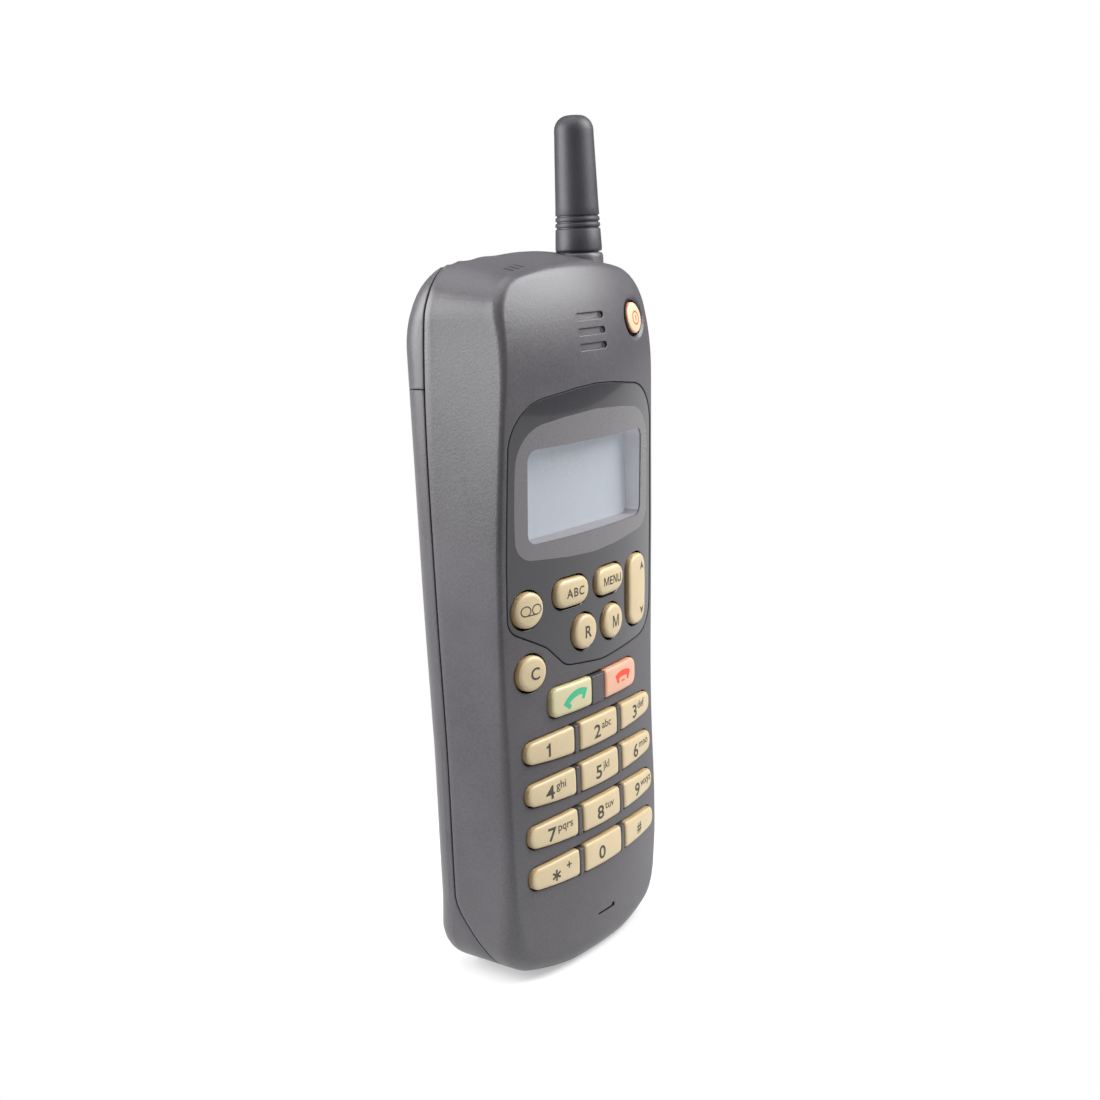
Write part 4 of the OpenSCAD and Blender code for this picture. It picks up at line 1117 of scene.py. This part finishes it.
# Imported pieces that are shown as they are

KEPT = {
    "lcd_holder": label, "lcd_glass": display, "light_guide": white, "keymat": mat_grey, "dome_sheet": film,
    "main_board": board, "shield_can": steel, "ear_mesh": cloth, "ear_holder": black, "earpiece": steel,
    "buzzer": black, "mic_boot": black, "microphone": steel, "bottom_plug": black,
    "antenna_stud": brass, "contact_block": black, "contact_springs": brass, "sim_reader": black,
    "sim_card": card, "screws": steel, "power_pad": mat_grey, "battery_lid": label, "battery_cells": steel,
    "battery_pads": brass, "battery_catch": black, "catch_spring": steel,
}
for name, material in KEPT.items():
    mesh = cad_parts[name].data
    mesh.materials.clear()
    mesh.materials.append(material)


# Camera, floor and light

def camera_turn(azimuth, elevation, roll):
    a, e, t = radians(azimuth), radians(elevation), radians(roll)
    back = Vector((sin(a) * cos(e), -cos(a) * cos(e), sin(e)))
    right = Vector((0, 0, 1)).cross(back).normalized()
    up = back.cross(right)
    side, rise = right * cos(t) + up * sin(t), up * cos(t) - right * sin(t)
    return Matrix((side, rise, back)).transposed().to_4x4()


def add_camera():
    data = bpy.data.cameras.new("camera")
    data.sensor_width = 36
    data.lens = 36 * 1517 / 1100
    data.clip_start = 0.01
    obj = bpy.data.objects.new("camera", data)
    obj.matrix_world = Matrix.Translation((-0.2678, -0.2113, 0.16515)) @ camera_turn(-51.89, 11.49, -2.777)
    bpy.context.scene.collection.objects.link(obj)
    bpy.context.scene.camera = obj


def add_light(name, place, target, size, power):
    data = bpy.data.lights.new(name, "AREA")
    data.shape = "RECTANGLE"
    data.size, data.size_y = size
    data.energy = power
    obj = bpy.data.objects.new(name, data)
    way = Vector(place) - Vector(target)
    obj.matrix_world = Matrix.Translation(place) @ way.to_track_quat("Z", "Y").to_matrix().to_4x4()
    bpy.context.scene.collection.objects.link(obj)


def pale_floor():
    """White floor that takes the shadow near the phone and fades into the white behind it."""
    m, shader, where = shade("pale_floor")
    tree = m.node_tree
    cloud = where.noise(6, 3)
    wire_to(shader, Base_Color=cloud.blend(rgb(248, 248, 248), rgb(253, 253, 253)),
            Roughness=cloud.band(0.3, 0.7, 0.8, 0.9))
    away_by = where.add("ShaderNodeVectorMath", {"operation": "LENGTH"}, {0: where}, "Value")
    far = away_by.band(0.02, 0.12, 0.4, 1.0)
    ray = tree.nodes.new("ShaderNodeLightPath").outputs
    seen = where.maths("MAXIMUM", Wire(tree, ray["Is Camera Ray"]), Wire(tree, ray["Is Glossy Ray"]))
    dim = where.add("ShaderNodeEmission", {}, {"Color": (1, 1, 1, 1), "Strength": 0.4})
    bright = where.add("ShaderNodeEmission", {}, {"Color": (1, 1, 1, 1), "Strength": 1.0})
    glow = where.add("ShaderNodeMixShader", {}, {0: seen, 1: dim, 2: bright})
    mixed = where.add("ShaderNodeMixShader", {}, {0: far, 1: Wire(tree, shader.outputs[0]), 2: glow})
    tree.links.new(mixed.socket, tree.nodes["Material Output"].inputs["Surface"])
    return m


def add_floor():
    bm = bmesh.new()
    bmesh.ops.create_grid(bm, x_segments=1, y_segments=1, size=0.95)
    bmesh.ops.rotate(bm, verts=bm.verts, cent=(0, 0, 0), matrix=Matrix.Rotation(radians(23), 3, "Z"))
    bmesh.ops.translate(bm, verts=bm.verts, vec=(0.546, 0.584, 0))
    mesh = bpy.data.meshes.new("floor")
    bm.to_mesh(mesh)
    bm.free()
    mesh.materials.append(pale_floor())
    obj = bpy.data.objects.new("floor", mesh)
    bpy.context.scene.collection.objects.link(obj)


def add_sky():
    world = bpy.data.worlds.new("studio")
    bpy.context.scene.world = world
    world.use_nodes = True
    tree = world.node_tree
    path = Wire(tree, tree.nodes.new("ShaderNodeLightPath").outputs["Is Camera Ray"])
    dim = path.add("ShaderNodeBackground", {}, {"Color": (1, 1, 1, 1), "Strength": 0.22})
    bright = path.add("ShaderNodeBackground", {}, {"Color": (1, 1, 1, 1), "Strength": 1.0})
    mixed = path.add("ShaderNodeMixShader", {}, {0: path, 1: dim, 2: bright})
    tree.links.new(mixed.socket, tree.nodes["World Output"].inputs["Surface"])


add_camera()
add_floor()
add_sky()
add_light("left_softbox", (-0.26, 0.24, 0.25), (0, 0, 0.15), (0.3, 0.3), 2.6)
add_light("front_softbox", (0.18, -0.24, 0.36), (0, 0, 0.13), (0.3, 0.3), 2.75)
add_light("top_softbox", (-0.2, 0.1, 1.2), (0, 0, 0.08), (1.0, 1.0), 8)
bpy.context.scene.view_settings.view_transform = "Standard"
